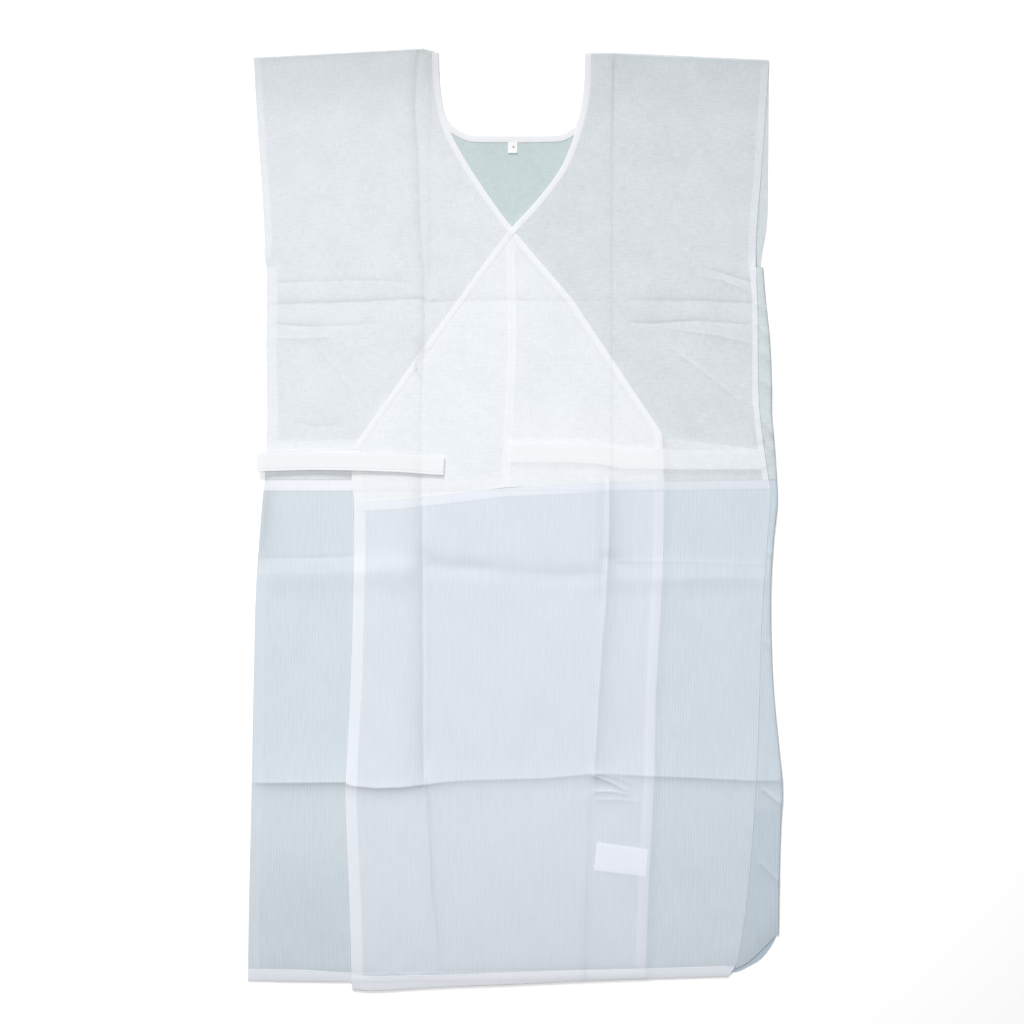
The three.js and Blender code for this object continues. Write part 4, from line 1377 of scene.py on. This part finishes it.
ribs, ins, outs = new_group("Crepe ribs", [("Vector", "vector", None), ("Pitch", "float", RIB_PITCH)],
                            [("Tint", "float"), ("Height", "float")])
wander = noise(ribs, ins.outputs["Vector"], (9.0, 6.0, 6.0), 2.0)
x = node(ribs, "ShaderNodeSeparateXYZ", None, {0: ins.outputs["Vector"]}).outputs["X"]
turns = maths(ribs, "MULTIPLY", maths(ribs, "DIVIDE", x, ins.outputs["Pitch"]), math.tau)
wave = maths(ribs, "SINE", maths(ribs, "ADD", turns, maths(ribs, "MULTIPLY", wander, 9.0)))
broken = noise(ribs, ins.outputs["Vector"], (380.0, 34.0, 60.0), 1.0)
strength = maths(ribs, "MULTIPLY", broken, 0.5)
rib = maths(ribs, "ADD", maths(ribs, "MULTIPLY", wave, strength), 0.5)
streak = noise(ribs, ins.outputs["Vector"], (520.0, 40.0, 60.0), 1.5)
cloud = noise(ribs, ins.outputs["Vector"], (22.0, 22.0, 22.0), 3.0)
tint = maths(ribs, "ADD", maths(ribs, "MULTIPLY", rib, 0.4), maths(ribs, "MULTIPLY", streak, 0.4))
tint = maths(ribs, "ADD", tint, maths(ribs, "MULTIPLY", cloud, 0.2))
ribs.links.new(tint, outs.inputs["Tint"])
ribs.links.new(rib, outs.inputs["Height"])

# %% Cloth colour
shade, ins, outs = new_group(
    "Cloth colour",
    [("Colour", "colour", None), ("Painted shade", "float", 1.0), ("Pattern", "float", 0.5),
     ("Depth", "float", 0.1)],
    [("Colour", "colour")],
)
swing = maths(shade, "MULTIPLY", maths(shade, "SUBTRACT", ins.outputs["Pattern"], 0.5), ins.outputs["Depth"])
factor = maths(shade, "MULTIPLY", maths(shade, "ADD", swing, 1.0), ins.outputs["Painted shade"])
tinted = node(shade, "ShaderNodeVectorMath", {"operation": "SCALE"},
              {0: ins.outputs["Colour"], "Scale": factor}).outputs[0]
shade.links.new(tinted, outs.inputs["Colour"])
print("groups:", ", ".join(group.name for group in bpy.data.node_groups))

# %% [markdown]
# ## Finishes
#
# Cotton, crepe and trim are matt and nearly white. The colour ramp reads the number of layers: one alone is
# greenish, many are a clean white. Sheen lifts the edges a little, as fine fibres do, and the pattern also
# drives the roughness and a shallow bump.

# %% One recipe for every cloth
MOST_LAYERS = 7.0
LIT = 1.22  # how brightly the lights above light the middle of the slip


def seen(red, green, blue):
    """The finish that looks this colour, from 0 to 255, under these lights."""
    def linear(value):
        value /= 255.0
        return (value / 12.92 if value <= 0.04045 else ((value + 0.055) / 1.055) ** 2.4) / LIT
    return (linear(red), linear(green), linear(blue), 1.0)


def cloth_finish(name, layers, pattern, depth, bump, sheen, roughness):
    """Layers is a list of (number of layers, colour). Pattern is (group, socket, value).
    Depth is how much the pattern tints two layers, and then four: many layers look more even."""
    finish = bpy.data.materials.new(name)
    finish.use_nodes = True
    tree = finish.node_tree
    shader = tree.nodes["Principled BSDF"]
    place = node(tree, "ShaderNodeTexCoord").outputs["Object"]
    count = node(tree, "ShaderNodeAttribute", {"attribute_name": "layers"}).outputs["Fac"]
    bright = node(tree, "ShaderNodeAttribute", {"attribute_name": "painted_shade"}).outputs["Fac"]
    ramp_node = node(tree, "ShaderNodeValToRGB", None, {"Fac": maths(tree, "DIVIDE", count, MOST_LAYERS)})
    stops = ramp_node.color_ramp.elements
    for i, (number, colour) in enumerate(layers):
        stop = stops[i] if i < 2 else stops.new(number / MOST_LAYERS)
        stop.position = number / MOST_LAYERS
        stop.color = colour
    group, socket, value = pattern
    relief = node(tree, "ShaderNodeGroup", {"node_tree": group}, {"Vector": place, socket: value})
    evening = node(tree, "ShaderNodeMapRange", None, {
        "Value": count, "From Min": 2.0, "From Max": 4.0, "To Min": depth[0], "To Max": depth[1]})
    colour = node(tree, "ShaderNodeGroup", {"node_tree": shade}, {
        "Colour": ramp_node.outputs["Color"], "Painted shade": bright,
        "Pattern": relief.outputs["Tint"], "Depth": evening.outputs["Result"]})
    tree.links.new(colour.outputs["Colour"], shader.inputs["Base Color"])
    rough = node(tree, "ShaderNodeMapRange", None, {
        "Value": relief.outputs["Height"], "To Min": roughness[0], "To Max": roughness[1]})
    tree.links.new(rough.outputs["Result"], shader.inputs["Roughness"])
    bumped = node(tree, "ShaderNodeBump", None, {
        "Strength": 0.6, "Distance": bump, "Height": relief.outputs["Height"]})
    tree.links.new(bumped.outputs["Normal"], shader.inputs["Normal"])
    shader.inputs["Specular IOR Level"].default_value = 0.25
    shader.inputs["Sheen Weight"].default_value = sheen
    shader.inputs["Sheen Roughness"].default_value = 0.5
    return finish

# %% Cotton, crepe, trim and thread
cotton = cloth_finish(
    "Sheer cotton",
    [(1.0, seen(202, 216, 217)), (2.0, seen(219, 224, 228)), (3.0, seen(237, 241, 245)),
     (4.0, seen(243, 245, 248))],
    (weave, "Slub length", 1.0), (0.50, 0.18), 0.0001, 0.03, (0.78, 0.92))
crepe = cloth_finish(
    "Ribbed crepe",
    [(1.0, seen(185, 200, 214)), (2.0, seen(213, 223, 230)), (3.0, seen(221, 228, 237)),
     (4.0, seen(227, 232, 241)), (5.0, seen(235, 239, 247)), (6.0, seen(242, 245, 251)),
     (7.0, seen(241, 245, 256))],
    (ribs, "Pitch", RIB_PITCH), (0.34, 0.14), 0.0002, 0.03, (0.75, 0.92))
trim = cloth_finish(
    "Bound trim",
    [(1.0, seen(242, 244, 248)), (4.0, seen(243, 244, 248))],
    (weave, "Slub length", 1.6), (0.12, 0.12), 0.0001, 0.03, (0.78, 0.9))
thread = cloth_finish(
    "White thread",
    [(1.0, seen(246, 246, 249)), (4.0, seen(246, 246, 249))],
    (weave, "Slub length", 3.0), (0.10, 0.10), 0.00005, 0.05, (0.6, 0.75))

# %% The label tape, with its small mark
tape = cloth_finish(
    "Label tape",
    [(1.0, seen(250, 250, 252)), (4.0, seen(250, 250, 252))],
    (weave, "Slub length", 2.5), (0.08, 0.08), 0.00006, 0.1, (0.6, 0.75))
tape_tree = tape.node_tree
mark_centre = (*(0.4 * tape_low[:2] + 0.6 * tape_high[:2]) * MM, 0.0)
spot = node(tape_tree, "ShaderNodeTexCoord").outputs["Object"]
away = node(tape_tree, "ShaderNodeVectorMath", {"operation": "SUBTRACT"}, {0: spot, 1: mark_centre})
aside = node(tape_tree, "ShaderNodeSeparateXYZ", None, {0: away.outputs[0]})
diamond = maths(tape_tree, "ADD", maths(tape_tree, "ABSOLUTE", aside.outputs["X"]),
                maths(tape_tree, "ABSOLUTE", aside.outputs["Y"]))
inked = node(tape_tree, "ShaderNodeMapRange", None, {
    "Value": diamond, "From Min": 0.0016, "From Max": 0.0024, "To Min": 1.0, "To Max": 0.0})
base = tape_tree.nodes["Principled BSDF"].inputs["Base Color"]
plain = base.links[0].from_socket
mixed = node(tape_tree, "ShaderNodeMix", {"data_type": "RGBA"}, {
    "Factor": inked.outputs["Result"], "A": plain, "B": seen(214, 176, 190)})
tape_tree.links.new(mixed.outputs["Result"], base)
print("finishes:", ", ".join(finish.name for finish in (cotton, crepe, trim, thread, tape)))

# %% [markdown]
# ## Place the pieces
#
# Every piece rides on the one body and takes its finish, and the frame's solids that it replaces are hidden.

# %% Finish and place each piece
def settle(piece, finish, slot, *nodes):
    """Gives a piece its finish and its body, and hides the frame's solids that it stands for. The slot is not
    used.
    """
    piece.data.materials.append(finish)
    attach(piece, "root")
    if nodes:
        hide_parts(*nodes)


settle(body, cotton, "cotton", "body")
settle(left_panel, cotton, "cotton", "overlap_panel_left")
settle(right_panel, cotton, "cotton", "overlap_panel_right")
settle(skirt_back, crepe, "crepe", "skirt_back")
settle(under_skirt, crepe, "crepe", "skirt_front_right")
settle(over_skirt, crepe, "crepe", "skirt_front_left")
settle(neck_binding, trim, "trim", "neck_binding_back", "neck_binding_right", "neck_binding_left")
settle(tie_outer, trim, "trim", "tie_outer")
settle(tie_inner, trim, "trim", "tie_inner")
settle(label_neck, tape, "label", "label_neck")
settle(label_care, tape, "label", "label_care")
for rows in (binding_stitches, body_stitches, under_stitches, over_stitches):
    settle(rows, thread, "trim")

# %% Size of the slip
low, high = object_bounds()
print("size of the slip in metres:", [round(b - a, 4) for a, b in zip(low, high)])
